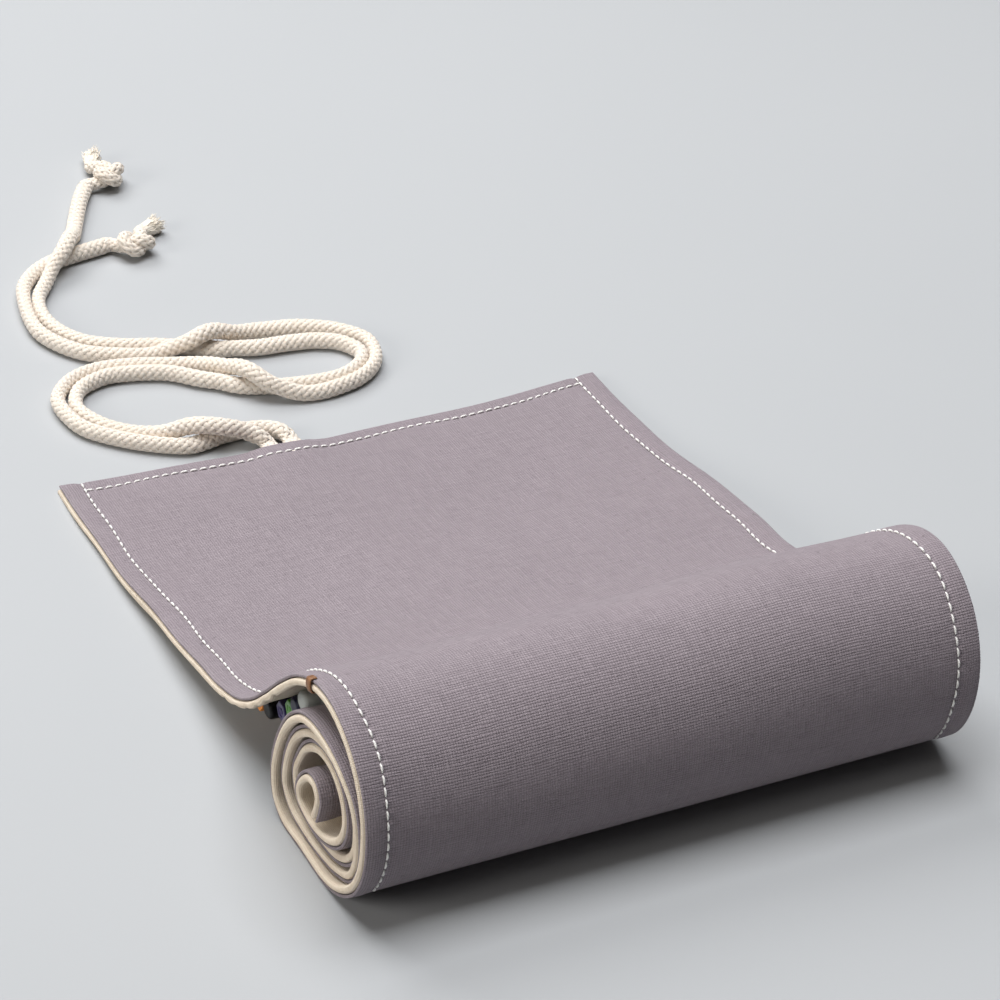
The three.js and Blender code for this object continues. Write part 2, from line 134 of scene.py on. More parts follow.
def make_camera():
    data = bpy.data.cameras.new("camera")
    data.sensor_width = 36
    data.lens = 124.36
    data.clip_start = 0.05
    data.clip_end = 50
    camera = bpy.data.objects.new("camera", data)
    bpy.context.scene.collection.objects.link(camera)
    a, e, r = CAMERA_TURN, CAMERA_DOWN, CAMERA_ROLL
    forward = np.array([math.sin(a) * math.cos(e), math.cos(a) * math.cos(e), -math.sin(e)])
    level = np.array([math.cos(a), -math.sin(a), 0.0])
    upright = np.cross(level, forward)
    right = level * math.cos(r) + upright * math.sin(r)
    top = upright * math.cos(r) - level * math.sin(r)
    axes = np.column_stack([right, top, -forward])
    camera.matrix_world = Matrix.Translation(Vector(CAMERA_AT)) @ Matrix(axes.tolist()).to_4x4()
    bpy.context.scene.camera = camera


make_camera()


# ---- curves ----
def smooth_line(points, spacing):
    """A centripetal Catmull-Rom curve through points, as points a spacing apart."""
    points = np.asarray(points, float)
    ends = [2 * points[0] - points[1]], [2 * points[-1] - points[-2]]
    p = np.vstack([ends[0], points, ends[1]])
    dense = []
    for i in range(1, len(p) - 2):
        p0, p1, p2, p3 = p[i - 1 : i + 3]
        t1 = np.linalg.norm(p1 - p0) ** 0.5
        t2 = t1 + np.linalg.norm(p2 - p1) ** 0.5
        t3 = t2 + np.linalg.norm(p3 - p2) ** 0.5
        t = np.linspace(t1, t2, 40, endpoint=False)[:, None]
        a1 = (t1 - t) / t1 * p0 + t / t1 * p1
        a2 = (t2 - t) / (t2 - t1) * p1 + (t - t1) / (t2 - t1) * p2
        a3 = (t3 - t) / (t3 - t2) * p2 + (t - t2) / (t3 - t2) * p3
        b1 = (t2 - t) / t2 * a1 + t / t2 * a2
        b2 = (t3 - t) / (t3 - t1) * a2 + (t - t1) / (t3 - t1) * a3
        dense.append((t2 - t) / (t2 - t1) * b1 + (t - t1) / (t2 - t1) * b2)
    dense.append(p[-2][None])
    return resample(np.vstack(dense), spacing)


def arc_along(points):
    """Each point's distance from the first one, along the line."""
    return np.concatenate([[0], np.cumsum(np.linalg.norm(np.diff(points, axis=0), axis=1))])


def unit(vectors):
    """The same directions, with length 1."""
    return vectors / np.linalg.norm(vectors, axis=-1, keepdims=True)


def resample(points, spacing):
    """The same line with its points evenly spaced."""
    arc = arc_along(points)
    count = max(2, round(arc[-1] / spacing) + 1)
    at = np.linspace(0, arc[-1], count)
    return np.column_stack([np.interp(at, arc, points[:, k]) for k in range(points.shape[1])])


def smoothstep(value, low, high):
    """0 below low, 1 above high, and a smooth rise between them."""
    t = np.clip((np.asarray(value, float) - low) / (high - low), 0, 1)
    return t * t * (3 - 2 * t)


def frames_along(path):
    """Tangents, and two normals that turn as little as they can, at each point of a path."""
    tangents = unit(np.gradient(path, axis=0))
    sides = [unit(np.cross(UP, tangents[0]))]
    for tangent in tangents[1:]:
        sides.append(unit(sides[-1] - (sides[-1] @ tangent) * tangent))
    sides = np.array(sides)
    return tangents, sides, np.cross(tangents, sides)


def round_rings(path, radius, count):
    """Rings of points round a path, and the angle of each point. radius is one for each ring."""
    _, sides, ups = frames_along(path)
    turn = np.arange(count) * math.tau / count
    ring = np.cos(turn)[None, :, None] * sides[:, None] + np.sin(turn)[None, :, None] * ups[:, None]
    return path[:, None] + radius[:, None, None] * ring, turn


def tube_uv(around, along):
    """The uv pairs of a tube's rings: the place round it and the distance along it."""
    return np.stack(np.broadcast_arrays(np.asarray(around)[None], along[:, None]), axis=-1)


# ---- meshes ----
def mesh_object(name, vertices, faces, material, uv=None):
    """A smooth-shaded mesh object. uv gives one pair for each vertex."""
    mesh = bpy.data.meshes.new(name)
    mesh.from_pydata(np.asarray(vertices, float).tolist(), [], faces)
    mesh.validate()
    if uv is not None:
        layer = mesh.uv_layers.new(name="Cloth")
        corner = np.zeros(len(mesh.loops), np.int64)
        mesh.loops.foreach_get("vertex_index", corner)
        layer.data.foreach_set("uv", np.asarray(uv, np.float32)[corner].ravel())
    mesh.polygons.foreach_set("use_smooth", [True] * len(mesh.polygons))
    mesh.materials.append(material)
    made = bpy.data.objects.new(name, mesh)
    bpy.context.scene.collection.objects.link(made)
    return made


class Builder:
    """Gathers the vertices, faces and uv pairs of one mesh."""

    def __init__(self):
        self.vertices = []
        self.faces = []
        self.uv = []
        self.count = 0

    def tube(self, rings, uv=None):
        """Adds a tube with closed ends through rings, an array of ring, point and coordinate."""
        rings = np.asarray(rings, float)
        n, m, _ = rings.shape
        index = self.count + np.arange(n * m).reshape(n, m)
        self.vertices.append(rings.reshape(-1, 3))
        if uv is None:
            uv = np.zeros((n * m, 2))
        self.uv.append(np.asarray(uv, float).reshape(-1, 2))
        near = index[:-1]
        far = index[1:]
        quads = np.stack([near, np.roll(near, -1, 1), np.roll(far, -1, 1), far], axis=2)
        self.faces.extend(quads.reshape(-1, 4).tolist())
        self.faces.append(index[0][::-1].tolist())
        self.faces.append(index[-1].tolist())
        self.count += n * m

    def make(self, name, material):
        return mesh_object(
            name, np.vstack(self.vertices), self.faces, material, np.vstack(self.uv)
        )


# ---- materials ----
class Nodes:
    """A material's node tree, with short calls for the nodes used here."""

    def __init__(self, name):
        self.material = bpy.data.materials.new(name)
        self.material.use_nodes = True
        self.tree = self.material.node_tree
        self.shader = self.tree.nodes["Principled BSDF"]

    def put(self, value, socket):
        """Sets a socket to a number or a colour, or links a node's output to it."""
        if isinstance(value, tuple):
            socket.default_value = (*value, 1)
        elif isinstance(value, (int, float)):
            socket.default_value = value
        else:
            self.tree.links.new(value, socket)

    def node(self, kind, **settings):
        made = self.tree.nodes.new(kind)
        for key, value in settings.items():
            setattr(made, key, value)
        return made

    def math(self, operation, *values):
        made = self.node("ShaderNodeMath", operation=operation)
        for socket, value in zip(made.inputs, values):
            self.put(value, socket)
        return made.outputs[0]

    def weighted(self, *parts):
        """The sum of some values, each times its weight."""
        scaled = [self.math("MULTIPLY", value, weight) for value, weight in parts]
        total = scaled[0]
        for value in scaled[1:]:
            total = self.math("ADD", total, value)
        return total

    def cloth_uv(self):
        """Distances across and along the cloth, in metres."""
        uv = self.node("ShaderNodeUVMap", uv_map="Cloth")
        split = self.node("ShaderNodeSeparateXYZ")
        self.put(uv.outputs["UV"], split.inputs[0])
        return uv.outputs["UV"], split.outputs[0], split.outputs[1]

    def place(self):
        """A point's place in the part's frame, in metres."""
        return self.node("ShaderNodeTexCoord").outputs["Object"]

    def noise(self, vector, scale, detail, roughness, stretch=None):
        if stretch is not None:
            mapping = self.node("ShaderNodeMapping")
            mapping.inputs["Scale"].default_value = stretch
            self.put(vector, mapping.inputs["Vector"])
            vector = mapping.outputs[0]
        made = self.node("ShaderNodeTexNoise")
        made.inputs["Scale"].default_value = scale
        made.inputs["Detail"].default_value = detail
        made.inputs["Roughness"].default_value = roughness
        self.put(vector, made.inputs["Vector"])
        return made.outputs["Fac"]

    def ramp(self, value, stops):
        """A colour ramp: stops are (position, (r, g, b))."""
        made = self.node("ShaderNodeValToRGB")
        elements = made.color_ramp.elements
        while len(elements) < len(stops):
            elements.new(0.5)
        for element, (at, colour) in zip(elements, stops):
            element.position = at
            element.color = (*colour, 1)
        self.put(value, made.inputs[0])
        return made.outputs[0]

    def mix(self, share, a, b, mode="MIX"):
        made = self.node("ShaderNodeMix", data_type="RGBA", blend_type=mode)
        self.put(share, made.inputs[0])
        self.put(a, made.inputs[6])
        self.put(b, made.inputs[7])
        return made.outputs[2]

    def bump(self, height, distance, strength):
        made = self.node("ShaderNodeBump")
        made.inputs["Distance"].default_value = distance
        made.inputs["Strength"].default_value = strength
        self.put(height, made.inputs["Height"])
        self.put(made.outputs[0], self.shader.inputs["Normal"])

    def finish(self, colour, roughness, sheen=0.0, specular=0.5):
        self.put(colour, self.shader.inputs["Base Color"])
        self.put(roughness, self.shader.inputs["Roughness"])
        self.shader.inputs["Sheen Weight"].default_value = sheen
        self.shader.inputs["Sheen Roughness"].default_value = 0.5
        self.shader.inputs["Specular IOR Level"].default_value = specular
        return self.material


def woven(name, dark, middle, light, pitch, depth, slub):
    """Plain-woven cloth: warp and weft threads of a pitch, uneven in thickness and colour."""
    n = Nodes(name)
    vector, across, along = n.cloth_uv()
    warp_wobble = n.noise(vector, 1, 3, 0.6, (700, 110, 1))
    weft_wobble = n.noise(vector, 1, 3, 0.6, (110, 700, 1))
    turns = math.pi / pitch
    u = n.math("SINE", n.weighted((across, turns), (warp_wobble, 4.2)))
    v = n.math("SINE", n.weighted((along, turns), (weft_wobble, 4.2)))
    # the sign of this product says which thread is on top in each cell of the weave
    warp_up = n.math("MULTIPLY_ADD", n.math("MULTIPLY", u, v), 0.5, 0.5)
    weft_up = n.math("SUBTRACT", 1.0, warp_up)
    warp = n.math("MULTIPLY", n.math("ABSOLUTE", u), warp_up)
    weft = n.math("MULTIPLY", n.math("ABSOLUTE", v), weft_up)
    height = n.math("ADD", warp, weft)
    fibre = n.noise(vector, 2400, 4, 0.65)
    n.bump(n.weighted((height, 1), (fibre, 0.5)), depth, 1.0)

    # the crowns of the threads are painted lighter and the dips between them darker, which is
    # painted shade; the wobbles, fibre noise, patches and specks are the cloth's own uneven colour
    tone = n.weighted((height, 0.3), (warp_wobble, 0.2), (weft_wobble, 0.2), (fibre, 0.4))
    colour = n.ramp(tone, [(0.25, dark), (0.52, middle), (0.85, light)])
    patches = n.noise(vector, 35, 4, 0.6)
    colour = n.mix(0.12, colour, n.ramp(patches, [(0.3, dark), (0.7, light)]), "SOFT_LIGHT")
    specks = n.math("GREATER_THAN", n.noise(vector, 420, 2, 0.5), 0.72)
    colour = n.mix(n.math("MULTIPLY", specks, slub), colour, dark)
    return n.finish(colour, n.math("MULTIPLY_ADD", fibre, 0.12, 0.82), 0.08, 0.2)


def rope_cotton(name, pale, deep, bump_depth):
    """Soft cotton strands: fine fibres run along each strand."""
    n = Nodes(name)
    vector, around, _ = n.cloth_uv()
    fibres = n.noise(vector, 1, 3, 0.6, (26, 380, 1))
    yarns = n.math("SINE", n.weighted((around, 44), (fibres, 5)))
    fuzz = n.noise(n.place(), 3800, 3, 0.7)
    n.bump(n.weighted((yarns, 0.35), (fuzz, 1)), bump_depth, 0.9)
    colour = n.ramp(n.weighted((fibres, 0.55), (fuzz, 0.45)), [(0.25, deep), (0.6, pale)])
    n.shader.inputs["Subsurface Weight"].default_value = 0.12
    n.shader.inputs["Subsurface Radius"].default_value = (0.0012, 0.0009, 0.0007)
    n.shader.inputs["Subsurface Scale"].default_value = 1.0
    return n.finish(colour, n.math("MULTIPLY_ADD", fuzz, 0.1, 0.85), 0.25, 0.15)


def thread_material(name, colour, shade):
    """Twisted thread, with its plies round it and a little fuzz."""
    n = Nodes(name)
    _, around, along = n.cloth_uv()
    ply = n.math("SINE", n.weighted((around, 12.57), (along, 5200)))
    fuzz = n.noise(n.place(), 6000, 2, 0.6)
    n.bump(n.math("ADD", ply, fuzz), 0.05 * MM, 0.8)
    # the grooves between the plies are painted darker, which is painted shade; the fuzz is the
    # thread's own uneven tone
    tone = n.weighted((ply, 0.2), (fuzz, 0.8))
    return n.finish(n.ramp(tone, [(0.15, shade), (0.6, colour)]), 0.6, 0.1, 0.3)


CANVAS_CLOTH = woven(
    "canvas_cloth", (0.143, 0.12, 0.134), (0.265, 0.228, 0.252), (0.39, 0.343, 0.37),
    0.85 * MM, 0.28 * MM, 0.5,
)
LINING_CLOTH = woven(
    "lining_cloth", (0.5, 0.38, 0.27), (0.76, 0.65, 0.52), (0.86, 0.78, 0.66),
    0.6 * MM, 0.2 * MM, 0.15,
)
ROPE_CLOTH = rope_cotton("rope_cotton", (0.79, 0.72, 0.64), (0.78, 0.67, 0.56), 0.06 * MM)
# the tuft's fibres are the rope's own cotton, painted paler than the rope as painted light against
# the shade between the thin fibres
FIBRE_CLOTH_PAINTED_PALER = rope_cotton("rope_fibre_painted_paler", (0.86, 0.8, 0.7), (0.84, 0.74, 0.62), 0.03 * MM)
WHITE_THREAD = thread_material("white_thread", (0.9, 0.89, 0.87), (0.78, 0.77, 0.75))
CREAM_THREAD = thread_material("cream_thread", (0.68, 0.63, 0.55), (0.5, 0.43, 0.35))


# ---- the tie cord ----
STRANDS = 12  # half of them wind each way
BRAID_RADIUS = 2.4 * MM
BRAID_SWAY = 0.22 * MM
BRAID_LEAN = math.radians(42)
BRAID_TURN = math.tan(BRAID_LEAN) / BRAID_RADIUS  # radians of turn for each metre of rope
STRAND_HALF_WIDTH = 0.98 * MM
STRAND_HALF_THICK = 0.62 * MM
BRAID_STEP = 0.5 * MM
ROPE_IN_KNOT = 0.82  # how far the knot squeezes the rope's thickness
KNOT_REACH = 9.4 * MM  # from the knot's middle to where the rope enters it
KNOT_HIGH = 6 * MM
KNOT_POINTS = 96
KNOT_ROUNDS = 900  # of pulling it tight
KNOT_CLOSE = 0.68  # how near two parts of the knot come, in thicknesses of the squeezed rope
TAIL_TURN = {"a": 0.15, "b": 0.1}
TAIL_LENGTH = 9.5 * MM


def route(points):
    """A cord's route: points without a height lie on the floor."""
    xyz = []
    for x, y, *z in points:
        xyz.append((x * MM, y * MM, z[0] * MM if z else ROPE_REST))
    return smooth_line(np.array(xyz), BRAID_STEP)


def overhand(tail_turn):
    """The middle line of a tight overhand knot, entered from -X at the height of a rope at rest."""
    # this curve passes through its own loop, and is then pulled tight
    t = np.linspace(-2.1, 2.1, KNOT_POINTS)
    knot = np.column_stack([t**3 - 3 * t, t**4 - 4 * t**2 - 1.8, 0.12 * (t**5 - 10 * t)])
    knot *= KNOT_REACH / 2.96
    low = ROPE_REST - KNOT_HIGH
    exit_way = np.array([math.cos(tail_turn), math.sin(tail_turn), 0])
    knot[0] = (-KNOT_REACH, 0, low)
    knot[-1] = KNOT_REACH * exit_way + (0, 0, low)
    thick = 2 * ROPE_RADIUS * ROPE_IN_KNOT * KNOT_CLOSE
    for step in range(KNOT_ROUNDS):
        spacing = np.linalg.norm(np.diff(knot, axis=0), axis=1).mean()
        for held in (1, 2, 3):
            knot[held] = knot[0] + (held * spacing, 0, 0)
            knot[-1 - held] = knot[-1] - held * spacing * exit_way
        pull = np.zeros_like(knot)
        pull[1:-1] = 0.4 * ((knot[:-2] + knot[2:]) / 2 - knot[1:-1])
        gap = knot[:, None] - knot[None]
        distance = np.linalg.norm(gap, axis=2)
        apart = np.abs(np.subtract.outer(np.arange(len(knot)), np.arange(len(knot)))) * spacing
        close = (apart > 1.7 * thick) & (distance < thick)
        press = np.where(close, thick - distance, 0) / np.maximum(distance, 1e-6)
        pull += 0.22 * np.einsum("ij,ijk->ik", press, gap)
        pull = np.clip(pull, -0.2 * MM, 0.2 * MM)
        pull[:4] = 0
        pull[-4:] = 0
        knot = knot + pull
        knot[:, 2] = np.maximum(knot[:, 2], low - 0.4 * MM)
        if step % 15 == 0:
            length = np.linalg.norm(np.diff(knot, axis=0), axis=1).sum()
            knot = resample(knot, length / (KNOT_POINTS - 1))
    for _ in range(3):
        knot[2:-2] = (knot[1:-3] + 2 * knot[2:-2] + knot[3:-1]) / 4
    return knot


class Rope:
    """A plaited rope along a path. scale and flat give its thickness at each point."""

    def __init__(self, path, scale, flat):
        self.path = path
        self.scale = scale
        self.flat = flat
        self.tangents, self.sides, self.ups = frames_along(path)
        self.arc = arc_along(path)
        self.squeeze_way = np.zeros_like(path)
        self.squeeze = np.zeros(len(path))

    def spot(self, part, angle, radius):
        """Points at an angle and a distance from the path, and the way out from the path."""
        out = np.cos(angle)[:, None] * self.sides[part] + np.sin(angle)[:, None] * self.ups[part]
        return self.path[part] + radius[:, None] * out, out

    def strand(self, part, number):
        """The middle line of one strand, with its outward and its wide directions."""
        way = 1 if number % 2 else -1
        arc = self.arc[part]
        angle = (number // 2) * math.tau / (STRANDS / 2) + way * BRAID_TURN * arc
        sway = way * BRAID_SWAY * np.cos(STRANDS / 2 * BRAID_TURN * arc)
        radius = (BRAID_RADIUS + sway) * self.scale[part]
        middle, out = self.spot(part, angle, radius)
        around = np.cross(self.tangents[part], out)
        along = self.tangents[part] * math.cos(BRAID_LEAN) + way * around * math.sin(BRAID_LEAN)
        return middle, out, np.cross(out, along)

    def add(self, builder, first, last):
        """Adds the strands, and a core that fills the rope's middle, to a mesh."""
        part = slice(first, last)
        arc = self.arc[part]
        scale = self.scale[part][:, None, None]
        turn = np.arange(6) * math.tau / 6
        for number in range(STRANDS):
            middle, out, wide = self.strand(part, number)
            across = STRAND_HALF_WIDTH * np.cos(turn)[None, :, None] * wide[:, None]
            proud = STRAND_HALF_THICK * np.sin(turn)[None, :, None] * out[:, None]
            rings = middle[:, None] + scale * (across + proud)
            builder.tube(self.press(rings, part), tube_uv(turn / math.tau + number, arc))
        turn = np.arange(10) * math.tau / 10
        ring = np.cos(turn)[None, :, None] * self.sides[part][:, None]
        ring = ring + np.sin(turn)[None, :, None] * self.ups[part][:, None]
        core = self.path[part][:, None] + (BRAID_RADIUS - 0.1 * MM) * scale * ring
        builder.tube(self.press(core, part), tube_uv(turn, arc))

    def press(self, rings, part):
        """Flattens the rope where it is squeezed, and keeps it on the floor."""
        way = self.squeeze_way[part][:, None]
        across = np.sum((rings - self.path[part][:, None]) * way, axis=2)
        rings = rings - (self.squeeze[part][:, None] * across)[..., None] * way
        height = self.path[part][:, 2][:, None]
        rings[..., 2] = height + (rings[..., 2] - height) * self.flat[part][:, None]
        rings[..., 2] = np.maximum(rings[..., 2], 0.02 * MM)
        return rings


def fibre(builder, start, way, length, radius, curl, seed_turn):
    """One loose fibre: a thin tapering hair that curls and sags to the floor."""
    t = np.linspace(0, 1, 8)[:, None]
    side = unit(np.cross(way, UP))
    lift = np.cross(side, way)
    bend = curl * (np.cos(seed_turn) * side + np.sin(seed_turn) * lift)
    line = start + way * length * t + bend * length * (t**2) - UP * 0.18 * length * t**2
    line = line + side * 0.05 * length * np.sin(5 * t + seed_turn)
    line[:, 2] = np.maximum(line[:, 2], 0.25 * MM + 0.3 * MM * abs(math.sin(seed_turn)))
    rings, turn = round_rings(line, radius * (1 - 0.75 * t[:, 0] ** 2), 4)
    builder.tube(rings, tube_uv(turn / math.tau, length * t[:, 0]))


def frayed_tail(name, start, heading):
    """The rope's end past the knot: strands come loose and open into a soft tuft."""
    builder = Builder()
    forward = unit(np.array([math.cos(heading), math.sin(heading), 0.12]))
    side = unit(np.cross(forward, UP))
    lift = np.cross(side, forward)
    for strand in range(STRANDS):
        turn = strand * math.tau / STRANDS + 0.3
        out = math.cos(turn) * side + math.sin(turn) * lift
        t = np.linspace(0, 1, 9)[:, None]
        line = start - 1.5 * MM * forward + out * (1.2 * MM + 1.3 * MM * t**1.3)
        line = line + forward * 8.5 * MM * t - UP * 0.8 * MM * t**2
        rings, around = round_rings(line, 1.3 * MM * (1 - 0.4 * t[:, 0] ** 3), 8)
        rings[..., 2] = np.maximum(rings[..., 2], 0.1 * MM)
        builder.tube(rings, tube_uv(around / math.tau, 7 * MM * t[:, 0]))
        for _ in range(34):
            share = rng.uniform(0.35, 1.0)
            spread = rng.normal(0, 0.15, 3)
            way = unit(forward + out * (0.1 + 0.2 * share) + spread)
            root = line[int(share * 8)] + rng.normal(0, 0.6 * MM, 3)
            length = TAIL_LENGTH * rng.uniform(0.18, 0.38)
            fibre(
                builder, root, way, length, rng.uniform(0.2, 0.32) * MM,
                rng.uniform(0.05, 0.35), rng.uniform(0, math.tau),
            )
    return builder.make(name, FIBRE_CLOTH_PAINTED_PALER)


PRESSED = 5.0 * MM  # between the middles of two runs that lie pressed together


def lean_on(line, other):
    """Where a run lies beside the other they press together: the moved line, and the way and
    the share by which each point's section is squeezed."""
    gap = other[None] - line[:, None]
    distance = np.linalg.norm(gap, axis=2)
    nearest = distance.argmin(axis=1)
    spot = np.arange(len(line))
    from_start = spot * BRAID_STEP
    to_end = (len(line) - spot) * BRAID_STEP
    way = gap[spot, nearest]
    distance = distance[spot, nearest]
    level = way * (1, 1, 0)
    share = (1 - smoothstep(distance, 7.2 * MM, 11 * MM)) * smoothstep(
        np.linalg.norm(level, axis=1) / distance, 0.5, 0.95
    )
    share = share * smoothstep(from_start, 5 * MM, 25 * MM) * smoothstep(to_end, 20 * MM, 60 * MM)
    kernel = np.ones(13) / 13
    share = np.convolve(np.pad(share, 6, mode="edge"), kernel, mode="valid")
    level = level / np.maximum(np.linalg.norm(level, axis=1), 1e-6)[:, None]
    step = np.clip((distance - PRESSED) / 2, 0, 1.2 * MM) * share
    return line + level * step[:, None], level, share


def make_cord(letter, line, other):
    """One run of the rope with its knot and its frayed tail."""
    line, level, share = lean_on(line, other)
    line[:, 2] -= 0.8 * MM * (1 - smoothstep(np.arange(len(line)) * BRAID_STEP, 0, 7 * MM))
    last = line[-1] - line[-2]
    heading = math.atan2(last[1], last[0])
    knot = overhand(TAIL_TURN[letter])
    turned = knot.copy()
    turned[:, 0] = knot[:, 0] * math.cos(heading) - knot[:, 1] * math.sin(heading)
    turned[:, 1] = knot[:, 0] * math.sin(heading) + knot[:, 1] * math.cos(heading)
    turned += line[-1] - turned[0]
    in_knot = resample(turned, BRAID_STEP)[1:]
    path = np.vstack([line, in_knot])
    entered = len(line)
    spot = np.arange(len(path))
    from_entry = (spot - entered) * BRAID_STEP
    to_exit = (len(path) - 1 - spot) * BRAID_STEP
    tight = smoothstep(from_entry, -1 * MM, 4 * MM) * (0.5 + 0.5 * smoothstep(to_exit, 0, 3 * MM))
    scale = 1 - (1 - ROPE_IN_KNOT) * tight
    flat = 0.3 + 0.7 * smoothstep(spot * BRAID_STEP, -2 * MM, 8 * MM)
    rope = Rope(path, scale, flat)
    rope.squeeze_way[:entered] = level
    rope.squeeze[:entered] = 0.2 * share

    run = Builder()
    rope.add(run, 0, entered)
    cord = run.make(f"cord_{letter}_rope", ROPE_CLOTH)
    lump = Builder()
    rope.add(lump, entered - 1, len(path))
    tied = lump.make(f"cord_{letter}_overhand", ROPE_CLOTH)
    out = path[-1] - path[-3]
    tail = frayed_tail(f"cord_{letter}_frayed", path[-1], math.atan2(out[1], out[0]))

    pieces = ((cord, "cord", "cord"), (tied, "knot", "cord"), (tail, "frayed_end", "cord_fibre"))
    for piece, node, slot in pieces:
        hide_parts(f"{node}_{letter}")
        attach(piece, "flap")
    return line


route_a = route(CORD_A)
route_b = route(CORD_B)
line_a = make_cord("a", route_a, route_b)
line_b = make_cord("b", route_b, route_a)


# ---- the cloth's place ----
SECTION = smooth_line([(y * MM - ORIGIN_Y, z * MM) for y, z in SECTION_POINTS], 0.2 * MM)
SECTION_ARC = arc_along(SECTION)
CLOTH_LENGTH = SECTION_ARC[-1]
SECTION_TANGENT = unit(np.gradient(SECTION, axis=0))
FOLD = SECTION_ARC[np.argmax(SECTION[:, 0] < FOLD_AT_Y - ORIGIN_Y)]
TOP = SECTION_ARC[np.argmax(SECTION[:, 0] < -ORIGIN_Y)]
TOOLS_AT = FOLD + FIRST_TOOL + np.arange(len(TOOLS)) * TOOL_PITCH  # along the cloth
FAR_Y = SECTION[0, 0]


def section(along, offset):
    """Points of the section as (y, z), at distances along the cloth and off its seam face."""
    along, offset = np.broadcast_arrays(np.asarray(along, float), np.asarray(offset, float))
    y = np.interp(along, SECTION_ARC, SECTION[:, 0])
    z = np.interp(along, SECTION_ARC, SECTION[:, 1])
    ty = np.interp(along, SECTION_ARC, SECTION_TANGENT[:, 0])
    tz = np.interp(along, SECTION_ARC, SECTION_TANGENT[:, 1])
    return y + tz * offset, np.maximum(z - ty * offset, 0.0)


LIFT = 3.8 * MM  # how much higher the flap's right side arches
BOW = 5 * MM  # how far the far edge's corners stand out past its middle


# The inner turns stand out or lie back a little, as cloth rolled by hand does: distances along
# the cloth, and how far each part is moved to the right, in millimetres.
ROLLED_UNEVENLY = [
    (300, 0), (345, 0), (400, -1.2), (440, -1.2), (490, 2), (560, 0.2), (620, 2.2), (680, 2),
    (730, 0.8), (750, 0), (775, -0.8), (800, -1),
]
UNEVEN_ALONG, UNEVEN_SHIFT = np.array(ROLLED_UNEVENLY).T * MM


def settle(x, y, z, along=0.0):
    """The cloth's small departures from one straight section, alike for all of its layers."""
    x, y, z, along = np.broadcast_arrays(x, y, z, along)
    share = (x - LEFT) / WIDTH
    x = x + np.interp(along, UNEVEN_ALONG, UNEVEN_SHIFT)
    arch = np.exp(-(((y - 28 * MM) / (30 * MM)) ** 2))
    on_flap = smoothstep(y, -14 * MM, 10 * MM)
    free = smoothstep(z, 1.5 * MM, 6 * MM)
    lift = LIFT * arch * smoothstep(share, 0.25, 1.0)
    waves = 0.45 * np.sin(x / (17 * MM) + 1.3 + y / (60 * MM))
    waves = waves + 0.35 * np.sin(y / (11 * MM) + x / (48 * MM))
    z = z + (lift + waves * MM * on_flap) * free
    # the roll is a little slack between its ends
    on_roll = 1 - smoothstep(y, -40 * MM, -16 * MM)
    slack = 0.55 * np.sin(x / (26 * MM) + 0.5) + 0.4 * np.sin(x / (13 * MM) + z / (14 * MM))
    fuller = 2.4 * smoothstep(share, 0.35, 1.0)
    z = z + (slack + fuller) * MM * on_roll * smoothstep(z, 6 * MM, 55 * MM)
    x = x + 1.6 * MM * smoothstep(share, 0.4, 1.0) * on_roll
    edge = (2 * share - 1) ** 2
    bow = BOW * edge - 1.6 * MM + 0.5 * MM * np.sin(x / (12 * MM))
    y = y + bow * smoothstep(y, FAR_Y - 70 * MM, FAR_Y)
    drift = 0.45 * np.sin(y / (19 * MM) + z / (15 * MM)) + 0.25 * np.sin(y / (7 * MM) + 2)
    x = x + drift * MM * edge * on_flap
    return np.stack([x, y, z], axis=-1)


# The far hem rises over the tie cord where it comes out.
ROPE_X = -21.75 * MM
HUMP = 1.7 * MM


def hump(x, along):
    """How far the far hem rises."""
    across = np.exp(-(((x - ROPE_X) / (12 * MM)) ** 4))
    return HUMP * across * (1 - smoothstep(along, 3 * MM, 24 * MM))


# ---- top-stitching places ----
STITCH_PITCH = 3.4 * MM
STITCH_LENGTH = 2.65 * MM
THREAD_RADIUS = 0.36 * MM
LEFT_STITCH_X = LEFT + 7 * MM
RIGHT_STITCH_X = RIGHT - 8 * MM
FAR_STITCH = 5.4 * MM
STITCH_END = TOP + 74 * MM


def line_wobble(distance, seed):
    """A hand-guided line of stitching strays a little from straight."""
    return 0.35 * MM * np.sin(distance / (13 * MM) + seed) + 0.2 * MM * np.sin(
        distance / (5 * MM) + 2 * seed
    )


def pull_down(gap, distance):
    """The dent that a row of stitching makes in the cloth, deepest between two stitches."""
    in_hole = np.cos(math.pi * distance / STITCH_PITCH) ** 2
    return np.exp(-((gap / (1.3 * MM)) ** 2)) * (0.22 + 0.3 * in_hole) * MM


def stitch_dents(x, along):
    """The dents of all the top-stitching."""
    left = pull_down(x - LEFT_STITCH_X - line_wobble(along, 1), along) * (along < STITCH_END)
    right = pull_down(x - RIGHT_STITCH_X - line_wobble(along, 2), along) * (along < STITCH_END)
    inside = (x > LEFT_STITCH_X) & (x < RIGHT_STITCH_X)
    far = pull_down(along - FAR_STITCH - line_wobble(x, 3), x) * inside
    return np.maximum(np.maximum(left, right), far)


def seam_ridge(x):
    """The turned-in hem makes the cloth a little thicker outside the stitching."""
    from_edge = np.minimum(x - LEFT, RIGHT - x)
    return 0.25 * MM * np.exp(-(((from_edge - 3 * MM) / (2.6 * MM)) ** 2))


# ---- sheets of cloth ----
def rounded(distance, radius):
    """From almost 0 at an edge to 1 a radius inside it, as a half-round edge rises."""
    t = np.clip(distance / radius, 0, 1)
    return np.maximum(np.sqrt(1 - (1 - t) ** 2), 0.12)


